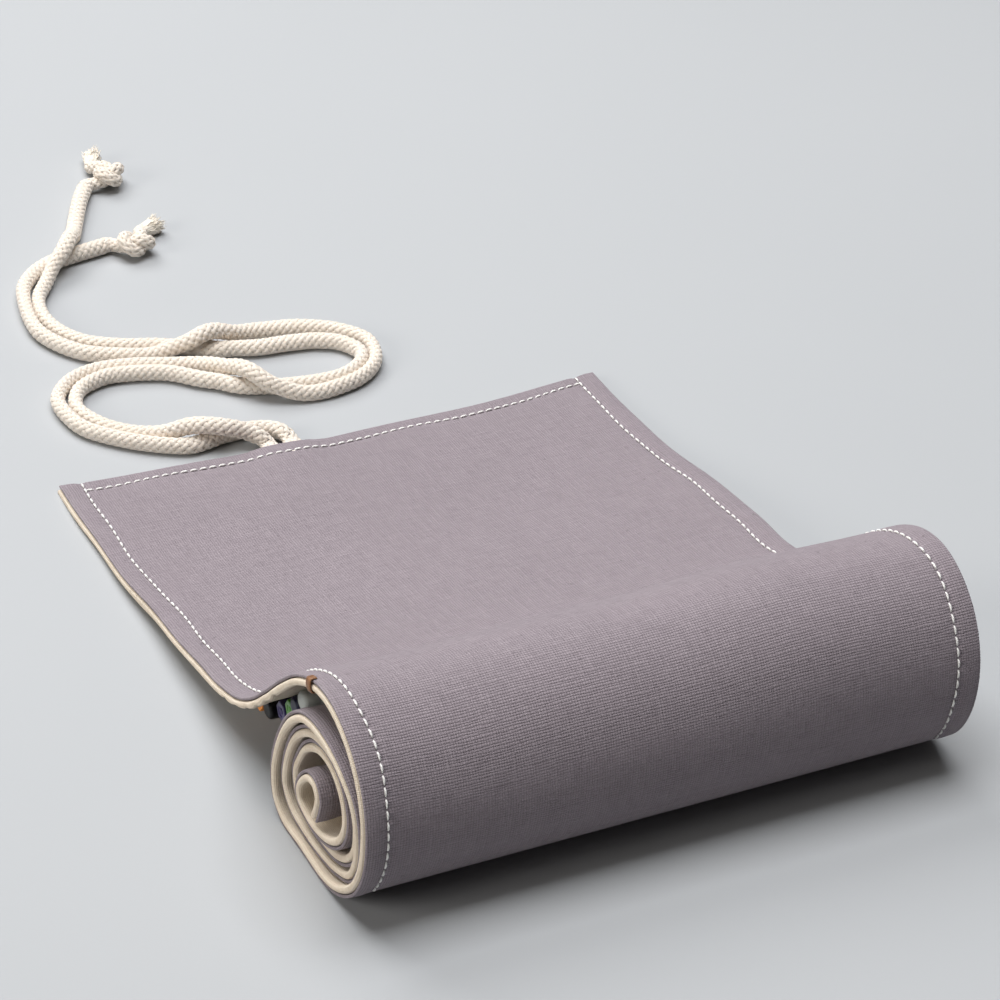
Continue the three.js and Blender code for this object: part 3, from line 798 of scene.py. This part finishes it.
def two_faced(n, m):
    """The faces of a closed sheet: two grids of n by m points, and the rim between them."""
    index = np.arange(n * m).reshape(n, m)
    corners = [index[:-1, :-1], index[:-1, 1:], index[1:, 1:], index[1:, :-1]]
    quads = np.stack(corners, axis=2).reshape(-1, 4)
    rim = np.concatenate([index[0], index[1:, -1], index[-1, -2::-1], index[-2:0:-1, 0]])
    after = np.roll(rim, -1)
    sides = np.stack([rim, after, after + n * m, rim + n * m], axis=1)
    return np.vstack([quads[:, ::-1], quads + n * m, sides]).tolist()


def sheet(name, along, across, low, high, radius, material):
    """A closed sheet of cloth on the section, with half-round edges.

    low and high give its faces, as functions of x and the distance along the cloth."""
    grid_along, grid_x = np.meshgrid(along, across, indexing="ij")
    to_side = np.minimum(grid_x - across[0], across[-1] - grid_x)
    to_end = np.minimum(grid_along - along[0], along[-1] - grid_along)
    plump = np.minimum(rounded(to_side, radius), rounded(to_end, radius))
    bottom = low(grid_x, grid_along)
    top = high(grid_x, grid_along)
    middle = (top + bottom) / 2
    half = (top - bottom) / 2 * plump
    points = []
    for offset in (middle + half, middle - half):
        y, z = section(grid_along, offset)
        xyz = settle(grid_x, y, z, grid_along)
        xyz[..., 2] = np.maximum(xyz[..., 2], 0)
        points.append(xyz.reshape(-1, 3))
    uv = np.stack([grid_x, grid_along], axis=-1).reshape(-1, 2)
    faces = two_faced(*grid_x.shape)
    return mesh_object(name, np.vstack(points), faces, material, np.vstack([uv, uv]))


def graded(marks):
    """Stations through (start, end, spacing) runs."""
    runs = [np.arange(a, b - step / 3, step) for a, b, step in marks]
    return np.concatenate([*runs, [marks[-1][1]]])


def edge_steps(radius):
    """Distances from a rounded edge, closest together at the edge itself."""
    return radius * (1 - np.cos(np.linspace(0, math.pi / 2, 5)))


def near_edge(start, end, middle_step, radius):
    """Stations across a sheet, closer together at its two edges."""
    ease = edge_steps(radius)
    inner = np.linspace(start + radius, end - radius, round((end - start) / middle_step) + 1)
    return np.concatenate([start + ease[:-1], inner, (end - ease[:-1])[::-1]])


def with_lines(columns, lines, half=2.6 * MM, step=0.52 * MM):
    """Adds closely spaced columns about each line of stitching."""
    kept = [c for c in columns if all(abs(c - line) > half for line in lines)]
    for line in lines:
        kept.extend(np.arange(line - half, line + half + step / 2, step))
    return np.array(sorted(kept))


CANVAS_RADIUS = 0.45 * MM
LINING_RADIUS = 1.1 * MM
cloth_columns = near_edge(LEFT, RIGHT, 3.2 * MM, CANVAS_RADIUS)
cloth_columns = with_lines(cloth_columns, [LEFT_STITCH_X, RIGHT_STITCH_X])
canvas_rows = np.concatenate([
    edge_steps(CANVAS_RADIUS)[:-1],
    graded([(CANVAS_RADIUS, STITCH_END, 0.57 * MM), (STITCH_END, CLOTH_LENGTH - 1 * MM, 1.6 * MM)]),
    CLOTH_LENGTH - edge_steps(CANVAS_RADIUS)[::-1],
])

canvas = sheet(
    "canvas", canvas_rows, cloth_columns,
    lambda x, along: np.full_like(x, CANVAS[0]) + hump(x, along) * 0.9,
    lambda x, along: CANVAS[1] + hump(x, along) - stitch_dents(x, along) + seam_ridge(x),
    CANVAS_RADIUS, CANVAS_CLOTH,
)
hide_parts("canvas_flap", "canvas_roll")

# The lining is a thicker cloth, and its turned edge is plump along the left side.
PUFF = 0.85 * MM
TOOL_CLEAR = 0.18 * MM


def lining_low(x, along):
    """The lining's lower face, as a distance off the section."""
    left = np.exp(-(((x - LEFT) / (4.2 * MM)) ** 2))
    right = 0.4 * np.exp(-(((RIGHT - x) / (1.2 * MM)) ** 2))
    puff = PUFF * (left + right)
    uneven = 1 + 0.12 * np.sin(along / (9 * MM)) + 0.08 * np.sin(along / (3.7 * MM) + 1)
    # the tools press their shape into the plump edge
    to_tool = np.abs(np.asarray(along)[..., None] - TOOLS_AT).min(axis=-1)
    pressed = TOOL_CLEAR + to_tool**2 / (2 * TOOL_RADIUS)
    return LINING[0] - np.minimum(puff * uneven, pressed)


lining_columns = near_edge(LEFT - 0.5 * MM, RIGHT + 0.2 * MM, 4 * MM, LINING_RADIUS)
lining_columns = with_lines(lining_columns, [LEFT + 3.2 * MM], 2.2 * MM, 0.73 * MM)
lining_rows = np.concatenate([
    edge_steps(LINING_RADIUS)[:-1],
    graded([(LINING_RADIUS, CLOTH_LENGTH - LINING_RADIUS, 1.5 * MM)]),
    CLOTH_LENGTH - edge_steps(LINING_RADIUS)[-2::-1],
])
lining = sheet(
    "lining", lining_rows, lining_columns, lining_low,
    lambda x, along: np.full_like(x, LINING[1]), LINING_RADIUS, LINING_CLOTH,
)
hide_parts("lining_flap", "lining_roll")


# ---- stitches ----
def stitch(builder, points, radius):
    """One stitch: a short thread through points that dives into the cloth at both ends."""
    count = len(points)
    taper = np.sin(np.linspace(0.14, math.pi - 0.14, count)) ** 0.35
    rings, turn = round_rings(points, radius * taper, 8)
    builder.tube(rings, tube_uv(turn / math.tau, np.linspace(0, STITCH_LENGTH, count)))


def stitch_row(name, starts, place):
    """A row of white stitches. place turns (distance, height) into points."""
    builder = Builder()
    for start in starts:
        distance = start + np.linspace(0, STITCH_LENGTH, 7)
        arch = np.sin(np.linspace(0, math.pi, 7)) ** 0.5
        height = (arch * 1.2 - 0.45) * THREAD_RADIUS
        stitch(builder, place(distance, height), THREAD_RADIUS)
    return builder.make(name, WHITE_THREAD)


def on_canvas(x, along, height):
    """Points at a height above the canvas, sunk in a little as thread is."""
    offset = CANVAS[1] + hump(x, along) + seam_ridge(x) - 0.2 * MM + height
    y, z = section(along, offset)
    return settle(x, y, z, along)


def side_row(x, seed):
    def place(along, height):
        return on_canvas(x + line_wobble(along, seed), along, height)

    return place


def far_row(x, height):
    return on_canvas(x, FAR_STITCH + line_wobble(x, 3), height)


side_starts = np.arange(2.2 * MM, STITCH_END, STITCH_PITCH) - STITCH_LENGTH / 2
left_stitches = stitch_row("left_stitching", side_starts, side_row(LEFT_STITCH_X, 1))
right_stitches = stitch_row("right_stitching", side_starts, side_row(RIGHT_STITCH_X, 2))
far_starts = np.arange(LEFT_STITCH_X, RIGHT_STITCH_X - STITCH_PITCH / 2, STITCH_PITCH) + 0.5 * MM
far_stitches = stitch_row("far_stitching", far_starts, far_row)
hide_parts("left_stitch_flap", "left_stitch_roll")
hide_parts("right_stitch_flap", "right_stitch_roll")
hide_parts("far_edge_stitch")


# ---- the pocket panel ----
EMPTY_POCKET = 12.2 * MM  # about how wide the empty pockets are
SEWN_FROM = TOOLS_AT[0] - TOOL_PITCH / 2  # where the tools' pockets start, along the cloth
EMPTY_POCKETS = round((SEWN_FROM - FAR_HEM) / EMPTY_POCKET)
EMPTY_WIDTH = (SEWN_FROM - FAR_HEM) / EMPTY_POCKETS


def panel_line():
    """The panel's middle as (distance along the cloth, distance off the seam face)."""
    line = []
    share = np.linspace(0, 1, 12, endpoint=False)
    slack = 1.1 * MM * np.sin(math.pi * share) ** 0.6
    for i in range(EMPTY_POCKETS):
        along = FAR_HEM + EMPTY_WIDTH * (i + share)
        line.append(np.column_stack([along, PANEL_MIDDLE + 0.35 * MM - slack]))
    wall = TOOL_RADIUS + 0.38 * MM
    turn = np.linspace(0, math.pi, 17)
    for along in TOOLS_AT:
        line.append(np.array([[along - TOOL_PITCH / 2, PANEL_MIDDLE + 0.2 * MM]]))
        arc = np.column_stack([along - wall * np.cos(turn), TOOL_DEPTH - wall * np.sin(turn)])
        line.append(arc)
    flat = np.arange(TOOLS_AT[-1] + TOOL_PITCH / 2, CLOTH_LENGTH - INNER_HEM, 2.5 * MM)
    line.append(np.column_stack([flat, np.full(len(flat), PANEL_MIDDLE)]))
    return np.vstack(line)


def panel_mesh():
    """The pocket panel, and the length of cloth that it takes."""
    line = panel_line()
    y, z = section(line[:, 0], line[:, 1])
    centre = np.column_stack([y, z])
    tangent = unit(np.gradient(centre, axis=0))
    normal = np.column_stack([tangent[:, 1], -tangent[:, 0]])
    columns = near_edge(POCKET_MOUTH_X, PANEL_END_X, 4 * MM, 0.25 * MM)
    columns = with_lines(columns, [POCKET_MOUTH_X + 5 * MM], 1.5 * MM, 0.5 * MM)
    half = PANEL_THICK / 2 * rounded(
        np.minimum(columns - columns[0], columns[-1] - columns), 0.25 * MM
    )
    # a turned hem makes the mouth of the pockets thicker
    from_mouth = columns - POCKET_MOUTH_X
    half = half * (1 + 0.7 * (1 - smoothstep(from_mouth, 4 * MM, 6 * MM)))
    points = []
    for sign in (1, -1):
        yy = centre[:, 0][:, None] + sign * normal[:, 0][:, None] * half[None]
        zz = centre[:, 1][:, None] + sign * normal[:, 1][:, None] * half[None]
        xx = np.broadcast_to(columns[None], yy.shape)
        placed = settle(xx, yy, np.maximum(zz, 0), line[:, 0][:, None])
        points.append(placed.reshape(-1, 3))
    faces = two_faced(len(line), len(columns))
    arc = arc_along(centre)
    uv = np.stack(np.meshgrid(arc, columns, indexing="ij")[::-1], axis=-1).reshape(-1, 2)
    made = mesh_object("pocket_panel", np.vstack(points), faces, LINING_CLOTH, np.vstack([uv, uv]))
    return made, float(arc[-1])


panel, PANEL_LENGTH = panel_mesh()
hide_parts("pocket_panel_flap", "pocket_panel_roll")

# Rows of stitches part the pockets.
flap_seams = [FAR_HEM + 1.5 * MM] + [
    FAR_HEM + EMPTY_WIDTH * i for i in range(1, EMPTY_POCKETS + 1)
]
tool_seams = TOOLS_AT + TOOL_PITCH / 2


def on_panel(x, along, height):
    """Points at a height off the pocket panel, where it is sewn down."""
    y, z = section(along, PANEL_MIDDLE + 0.1 * MM - height)
    return settle(x, y, z, along)


def seam_rows(name, seams):
    """Rows of cream stitches across the cloth, one at each seam's distance along it."""
    builder = Builder()
    for along in seams:
        for start in np.arange(POCKET_MOUTH_X + 2 * MM, POCKET_END_X, STITCH_PITCH):
            distance = start + np.linspace(0, STITCH_LENGTH, 6)
            height = (np.sin(np.linspace(0, math.pi, 6)) ** 0.5 - 0.35) * 0.5 * MM
            stitch(builder, on_panel(distance, along, height), 0.26 * MM)
    return builder.make(name, CREAM_THREAD)


flap_pocket_seams = seam_rows("flap_pocket_seams", flap_seams)
tool_pocket_seams = seam_rows("tool_pocket_seams", tool_seams)
seam_nodes = [f"pocket_seam_{i + 1}" for i in range(len(TOOLS) + 1)]
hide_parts("pocket_end_seam", *seam_nodes)


# ---- pens and pencils ----
def lacquer(name, colour, deep):
    """Glossy paint over wood, with faint grain, dust and small scuffs."""
    n = Nodes(name)
    place = n.place()
    grain = n.noise(place, 1, 4, 0.6, (60, 2600, 2600))
    scuffs = n.noise(place, 900, 4, 0.65)
    tone = n.weighted((grain, 0.5), (scuffs, 0.5))
    n.bump(tone, 0.03 * MM, 0.5)
    n.shader.inputs["Coat Weight"].default_value = 0.4
    n.shader.inputs["Coat Roughness"].default_value = 0.15
    roughness = n.math("MULTIPLY_ADD", scuffs, 0.25, 0.28)
    return n.finish(n.ramp(tone, [(0.3, deep), (0.6, colour)]), roughness)


def bare_wood(name):
    """Sharpened or cut cedar: grain along the pencil, darker in its late wood."""
    n = Nodes(name)
    place = n.place()
    grain = n.noise(place, 1, 5, 0.7, (90, 3200, 3200))
    pores = n.noise(place, 1, 2, 0.6, (500, 9000, 9000))
    tone = n.weighted((grain, 0.75), (pores, 0.25))
    n.bump(tone, 0.05 * MM, 0.7)
    return n.finish(n.ramp(tone, [(0.3, (0.36, 0.17, 0.07)), (0.65, (0.68, 0.42, 0.22))]), 0.62)


def waxy(name, colour, deep):
    """A coloured pencil's core, gritty with pigment."""
    n = Nodes(name)
    grit = n.noise(n.place(), 5200, 3, 0.7)
    n.bump(grit, 0.04 * MM, 0.6)
    return n.finish(n.ramp(grit, [(0.3, deep), (0.65, colour)]), 0.45)


def moulded(name, colour, deep, rough, through):
    """Moulded plastic with fine drag lines along its length and handling marks."""
    n = Nodes(name)
    place = n.place()
    marks = n.noise(place, 1, 3, 0.6, (120, 4200, 4200))
    prints = n.noise(place, 260, 4, 0.6)
    n.bump(n.math("ADD", marks, prints), 0.015 * MM, 0.5)
    tone = n.weighted((marks, 0.4), (prints, 0.6))
    n.shader.inputs["Transmission Weight"].default_value = through
    roughness = n.math("MULTIPLY_ADD", prints, 0.22, rough)
    return n.finish(n.ramp(tone, [(0.3, deep), (0.7, colour)]), roughness, 0.0, 0.25)


def steel(name):
    """Turned steel, with fine rings round its axis."""
    n = Nodes(name)
    rings = n.noise(n.place(), 1, 3, 0.6, (9000, 400, 400))
    n.bump(rings, 0.01 * MM, 0.5)
    n.shader.inputs["Metallic"].default_value = 1.0
    colour = n.ramp(rings, [(0.3, (0.5, 0.5, 0.52)), (0.7, (0.68, 0.68, 0.7))])
    return n.finish(colour, n.math("MULTIPLY_ADD", rings, 0.2, 0.18))


PAINTS = {
    "orange": ((1.0, 0.36, 0.05), (0.88, 0.26, 0.03)),
    "violet": ((0.05, 0.03, 0.16), (0.025, 0.016, 0.09)),
    "green": ((0.11, 0.35, 0.05), (0.06, 0.24, 0.03)),
    "black": ((0.006, 0.006, 0.007), (0.003, 0.003, 0.004)),
    "navy": ((0.008, 0.008, 0.04), (0.004, 0.004, 0.02)),
    "clear": ((0.6, 0.63, 0.6), (0.48, 0.52, 0.5)),
}
CEDAR = bare_wood("cedar")
NIB_STEEL = steel("nib_steel")

PENCIL_LENGTH = 175 * MM
PENCIL_CONE = 24 * MM
PENCIL_TIP = 5 * MM
PENCIL_BORE = 1.6 * MM
PENCIL_CORE = 1.05 * MM
PEN_LENGTH = 148 * MM
CAP_LENGTH = 44 * MM
NOSE_LENGTH = 38 * MM
CAP_BORE = 2.85 * MM
SIDES = 48


def ring_at(centre, x, radius, sides=SIDES):
    """A ring of points round a tool's axis, at a distance x from the tool's end."""
    angles = np.arange(sides) * math.tau / sides
    return np.column_stack([
        np.full(sides, centre[0]) + x,
        centre[1] + radius * np.cos(angles),
        centre[2] + radius * np.sin(angles),
    ])


def turned(name, profile, centre, material, sides=SIDES):
    """Turns a profile of (x from the tool's end, radius) round the tool's axis."""
    builder = Builder()
    builder.tube([ring_at(centre, x, radius, sides) for x, radius in profile])
    return builder.make(name, material)


def sharp_edges(made, degrees):
    """Keeps edges crisp where faces meet at more than an angle."""
    made.data.set_sharp_from_angle(angle=math.radians(degrees))
    return made


def groove(at, radius, step, depth):
    """The points of a profile that dips to a depth at one place."""
    return [
        (at + s * step, radius - depth * math.exp(-((s / 0.9) ** 2))) for s in (-2, -1, 0, 1, 2)
    ]


def pencil(name, centre):
    """A hexagonal cased pencil: painted casing, cut blunt end, scalloped sharpened cone, core."""
    paint = lacquer(f"{name}_lacquer", *PAINTS[name])
    core_wax = waxy(f"{name}_core", *PAINTS[name])
    angles = np.arange(SIDES) * math.tau / SIDES
    within = angles % (math.tau / 6) - math.pi / 6
    hexagon = TOOL_RADIUS * np.minimum(math.cos(math.pi / 6) / np.cos(within), 0.975)
    cone_start = PENCIL_LENGTH - PENCIL_CONE
    tip = PENCIL_LENGTH - PENCIL_TIP
    slope = (TOOL_RADIUS - PENCIL_BORE) / PENCIL_CONE
    edge = 0.35 * MM
    # the cone cuts the flats further along than the corners, so the paint ends in scallops
    scallop = cone_start + (TOOL_RADIUS - hexagon) / slope
    painted = [
        (0.25 * MM, PENCIL_BORE), (0, PENCIL_BORE + 0.2 * MM), (0, hexagon - edge),
        (0.1 * MM, hexagon - 0.12 * MM), (edge, hexagon), (60 * MM, hexagon), (120 * MM, hexagon),
        (scallop - 0.2 * MM, hexagon), (scallop, hexagon - 0.06 * MM),
    ]
    casing = sharp_edges(turned(f"{name}_pencil", painted, centre, paint), 25)
    wood = [(scallop - 0.1 * MM, hexagon - 0.12 * MM)]
    for share in np.linspace(0, 1, 10):
        x = scallop + (tip - scallop) * share
        radius = np.maximum(TOOL_RADIUS - (x - cone_start) * slope * 0.99, PENCIL_CORE)
        wood.append((x, np.minimum(radius - 0.02 * MM, hexagon)))
    wood.append((tip, PENCIL_CORE * 1.03))
    cone = turned(f"{name}_pencil_wood", wood, centre, CEDAR)
    point = [(tip - 0.3 * MM, PENCIL_CORE), (tip, PENCIL_CORE)]
    for share in (0.35, 0.7, 0.93):
        point.append((tip + PENCIL_TIP * share, PENCIL_CORE * (1 - share) + 0.12 * MM * share))
    point.append((tip + PENCIL_TIP * 0.99, 0.06 * MM))
    lead = turned(f"{name}_pencil_point", point, centre, core_wax, 20)
    cut = [(0.6 * MM, PENCIL_CORE), (0.12 * MM, PENCIL_CORE), (0.05 * MM, PENCIL_CORE * 0.85),
           (0.02 * MM, 0.1 * MM)]
    blunt = turned(f"{name}_pencil_end", cut, centre, core_wax, 20)
    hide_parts(f"{name}_pencil_casing")
    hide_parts(f"{name}_pencil_core")
    for piece in (casing, cone, lead, blunt):
        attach(piece, f"{name}_pencil")


def pen(name, centre):
    """A capped pen: cap with a domed end and grip rings, ribbed barrel, end plug, steel nib."""
    clear = name == "clear"
    rough, through = (0.32, 0.25) if clear else (0.22, 0.0)
    plastic = moulded(f"{name}_plastic", *PAINTS[name], rough, through)
    radius = TOOL_RADIUS
    outer = [(0.02 * MM, 0.2 * MM), (0, 1.2 * MM)]
    for a in np.linspace(0, math.pi / 2, 7):
        outer.append((1.3 * MM * (1 - math.cos(a)), radius * (0.62 + 0.36 * math.sin(a))))
    for at in (5 * MM, 6.2 * MM, 7.4 * MM):
        outer += groove(at, radius, 0.18 * MM, 0.16 * MM)
    outer += [
        (30 * MM, radius), (CAP_LENGTH - 0.3 * MM, radius),
        (CAP_LENGTH - 0.05 * MM, radius - 0.12 * MM),
    ]
    inner = [
        (CAP_LENGTH, CAP_BORE + 0.1 * MM), (CAP_LENGTH - 0.3 * MM, CAP_BORE),
        (2.4 * MM, CAP_BORE), (1.7 * MM, CAP_BORE - 0.6 * MM), (1.6 * MM, 0.2 * MM),
    ]
    cap = sharp_edges(turned(f"{name}_cap", outer + inner, centre, plastic), 30)

    barrel_radius = 3.35 * MM
    grip = CAP_BORE - 0.3 * MM
    nose = CAP_LENGTH - NOSE_LENGTH
    shape = [
        (nose, 0.8 * MM), (nose, 1.1 * MM), (nose + 0.3 * MM, 1.25 * MM),
        (nose + 3 * MM, 1.4 * MM), (nose + 9 * MM, 2.15 * MM), (nose + 14 * MM, grip),
    ]
    for rib in np.arange(nose + 16 * MM, CAP_LENGTH - 3 * MM, 1.6 * MM):
        shape += groove(rib, grip, 0.25 * MM, 0.14 * MM)
    barrel_end = PEN_LENGTH - 6 * MM
    shape += [
        (CAP_LENGTH + 0.3 * MM, grip), (CAP_LENGTH + 0.3 * MM, barrel_radius - 0.15 * MM),
        (CAP_LENGTH + 0.5 * MM, barrel_radius), (90 * MM, barrel_radius),
        (barrel_end - 0.3 * MM, barrel_radius), (barrel_end, barrel_radius - 0.2 * MM),
        (barrel_end, 1 * MM),
    ]
    barrel = sharp_edges(turned(f"{name}_barrel", shape, centre, plastic), 30)
    dome = PEN_LENGTH - 1 * MM
    plug_shape = [
        (barrel_end + 0.3 * MM, 1 * MM), (barrel_end + 0.3 * MM, 3 * MM),
        (barrel_end + 0.4 * MM, 3.1 * MM), (dome, 3.1 * MM),
    ]
    for a in np.linspace(0, math.pi / 2, 6):
        plug_shape.append((dome + math.sin(a) * MM, (2.1 + math.cos(a)) * MM))
    plug_shape += [
        (PEN_LENGTH, 0.9 * MM), (PEN_LENGTH - 0.4 * MM, 0.7 * MM),
        (PEN_LENGTH - 0.4 * MM, 0.1 * MM),
    ]
    plug = sharp_edges(turned(f"{name}_plug", plug_shape, centre, plastic), 30)
    nib_shape = [
        (2.62 * MM, 0.08 * MM), (2.8 * MM, 0.32 * MM), (3.3 * MM, 0.36 * MM),
        (4.8 * MM, 0.45 * MM), (nose + 0.5 * MM, 0.5 * MM), (nose + 4 * MM, 0.5 * MM),
    ]
    nib = turned(f"{name}_nib", nib_shape, centre, NIB_STEEL, 20)
    for piece, node in ((cap, "cap"), (barrel, "barrel"), (plug, "end_plug"), (nib, "nib")):
        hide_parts(f"{name}_pen_{node}")
        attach(piece, f"{name}_pen_cap" if piece is cap else f"{name}_pen")


for name, kind in TOOLS:
    low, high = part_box(f"{name}_pencil_casing" if kind == "pencil" else f"{name}_pen_cap")
    middle = (low + high) / 2
    build = pencil if kind == "pencil" else pen
    build(name, (low.x, middle.y, middle.z))


# ---- the leather tab ----
def leather(name):
    """Brown leather with fine pores."""
    n = Nodes(name)
    place = n.place()
    grain = n.node("ShaderNodeTexVoronoi", feature="DISTANCE_TO_EDGE")
    grain.inputs["Scale"].default_value = 2600
    n.put(place, grain.inputs["Vector"])
    tone = n.noise(place, 700, 4, 0.6)
    n.bump(n.weighted((grain.outputs["Distance"], 1.4), (tone, 1)), 0.08 * MM, 0.8)
    return n.finish(n.ramp(tone, [(0.3, (0.14, 0.058, 0.022)), (0.65, (0.29, 0.135, 0.055))]), 0.5)


def make_tab():
    """A strip of leather folded over the left edge."""
    centre_along = TOP - 7 * MM
    half_length = 1.5 * MM
    reach = 1.5 * MM
    step = 0.3 * MM
    thick = 0.32 * MM
    over = CANVAS[1] + 0.45 * MM
    under = lining_low(np.array(LEFT + 1 * MM), centre_along) - 0.35 * MM
    bend = (over - under) / 2
    path = [(LEFT + x, over) for x in (reach, reach / 2, 0.2 * MM)]
    for a in np.linspace(0.15, math.pi - 0.15, 9):
        path.append((LEFT - 0.2 * MM - 0.75 * MM * math.sin(a), under + bend * (1 + math.cos(a))))
    path += [(LEFT + x, under) for x in (0.2 * MM, reach / 2, reach)]
    path = resample(np.array(path), step)
    tangent = unit(np.gradient(path, axis=0))
    normals = np.column_stack([-tangent[:, 1], tangent[:, 0]])
    across = np.linspace(-1, 1, 9)
    edges = rounded((1 - np.abs(across)) * half_length, 0.4 * MM)
    spot = np.arange(len(path))
    ends = rounded(np.minimum(spot, spot[::-1]) * step + 0.05 * MM, 0.4 * MM)
    outline = [(1, s, e) for s, e in zip(across, edges)]
    outline += [(-1, s, e) for s, e in zip(across[::-1], edges[::-1])]
    rings = []
    for p, normal, end in zip(path, normals, ends):
        ring = []
        for sign, s, e in outline:
            x, offset = p + sign * normal * thick * e * end
            y, z = section(centre_along + s * half_length * (0.9 + 0.1 * end), offset)
            ring.append(settle(x, y, z))
        rings.append(ring)
    builder = Builder()
    builder.tube(np.array(rings))
    return builder.make("leather_tab", leather("tab_leather"))


tab = make_tab()
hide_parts("edge_tab")
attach(tab, "roll")


# ---- the fold of the cord, in the far hem ----
def cord_fold():
    """The rope turns back on itself between the canvas and the lining, pressed flat."""
    start = line_b[0]
    end = line_a[0]
    middle = (start + end) / 2
    half = (end[0] - start[0]) / 2
    turn = np.linspace(0, math.pi, 30)
    arc = np.column_stack([
        middle[0] - half * np.cos(turn), start[1] - 5.5 * MM - half * 0.8 * np.sin(turn),
        np.zeros(len(turn)),
    ])
    inner = np.vstack([[start[0], start[1] - 0.1 * MM, 0], arc, [end[0], end[1] - 0.1 * MM, 0]])
    path = resample(inner, BRAID_STEP)
    path[:, 2] = 3.2 * MM + 0.035 * (FAR_Y - path[:, 1])
    rope = Rope(path, np.full(len(path), 0.98), np.full(len(path), 0.42))
    builder = Builder()
    rope.add(builder, 0, len(path))
    return builder.make("cord_turn", ROPE_CLOTH)


fold = cord_fold()
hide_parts("cord_fold")
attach(fold, "flap")


# ---- the cloth baked in place, and the body that some rows of stitches follow ----
for piece in (canvas, lining, panel, left_stitches, right_stitches):
    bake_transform(piece)
for piece in (far_stitches, flap_pocket_seams):
    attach(piece, "flap")
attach(tool_pocket_seams, "roll")


# ---- floor and light ----
def make_floor():
    size = 6.0  # from its middle to each side
    n = Nodes("floor")
    place = n.place()
    broad = n.noise(place, 3, 3, 0.5)
    fine = n.noise(place, 900, 3, 0.6)
    n.bump(fine, 0.02 * MM, 0.3)
    tone = n.weighted((broad, 0.8), (fine, 0.2))
    material = n.finish(n.ramp(tone, [(0.2, FLOOR_DEEP), (0.8, FLOOR_PALE)]), 0.75, 0.0, 0.25)
    corners = [(-size, -size, 0), (size, -size, 0), (size, size, 0), (-size, size, 0)]
    floor = mesh_object("floor", corners, [(0, 1, 2, 3)], material)


def area_light(name, at, towards, size, power, colour):
    """A soft light at a place, turned towards another place. size is (width, height)."""
    data = bpy.data.lights.new(name, "AREA")
    data.shape = "RECTANGLE"
    data.size, data.size_y = size
    data.energy = power
    data.color = colour
    light = bpy.data.objects.new(name, data)
    bpy.context.scene.collection.objects.link(light)
    aim = Vector(towards) - Vector(at)
    turn = aim.to_track_quat("-Z", "Y").to_matrix().to_4x4()
    light.matrix_world = Matrix.Translation(Vector(at)) @ turn


FLOOR_PALE = (0.425, 0.44, 0.455)
FLOOR_DEEP = (0.405, 0.42, 0.435)
make_floor()
area_light("key", (-0.35, 1.5, 1.7), (0, 0.1, 0), (1.6, 1.2), 34, (1.0, 0.99, 0.98))
area_light("overhead", (0, 0.22, 1.9), (0, 0.3, 0), (1.6, 1.0), 39, (0.99, 0.99, 1.0))
area_light("side", (-1.9, -0.2, 0.95), (0, 0, 0.03), (0.8, 0.8), 17, (1.0, 0.96, 0.9))
world = bpy.data.worlds.new("studio")
world.use_nodes = True
background = world.node_tree.nodes["Background"]
background.inputs["Color"].default_value = (1.0, 0.94, 0.88, 1)
background.inputs["Strength"].default_value = 0.05
bpy.context.scene.world = world
bpy.context.scene.view_settings.view_transform = "Standard"
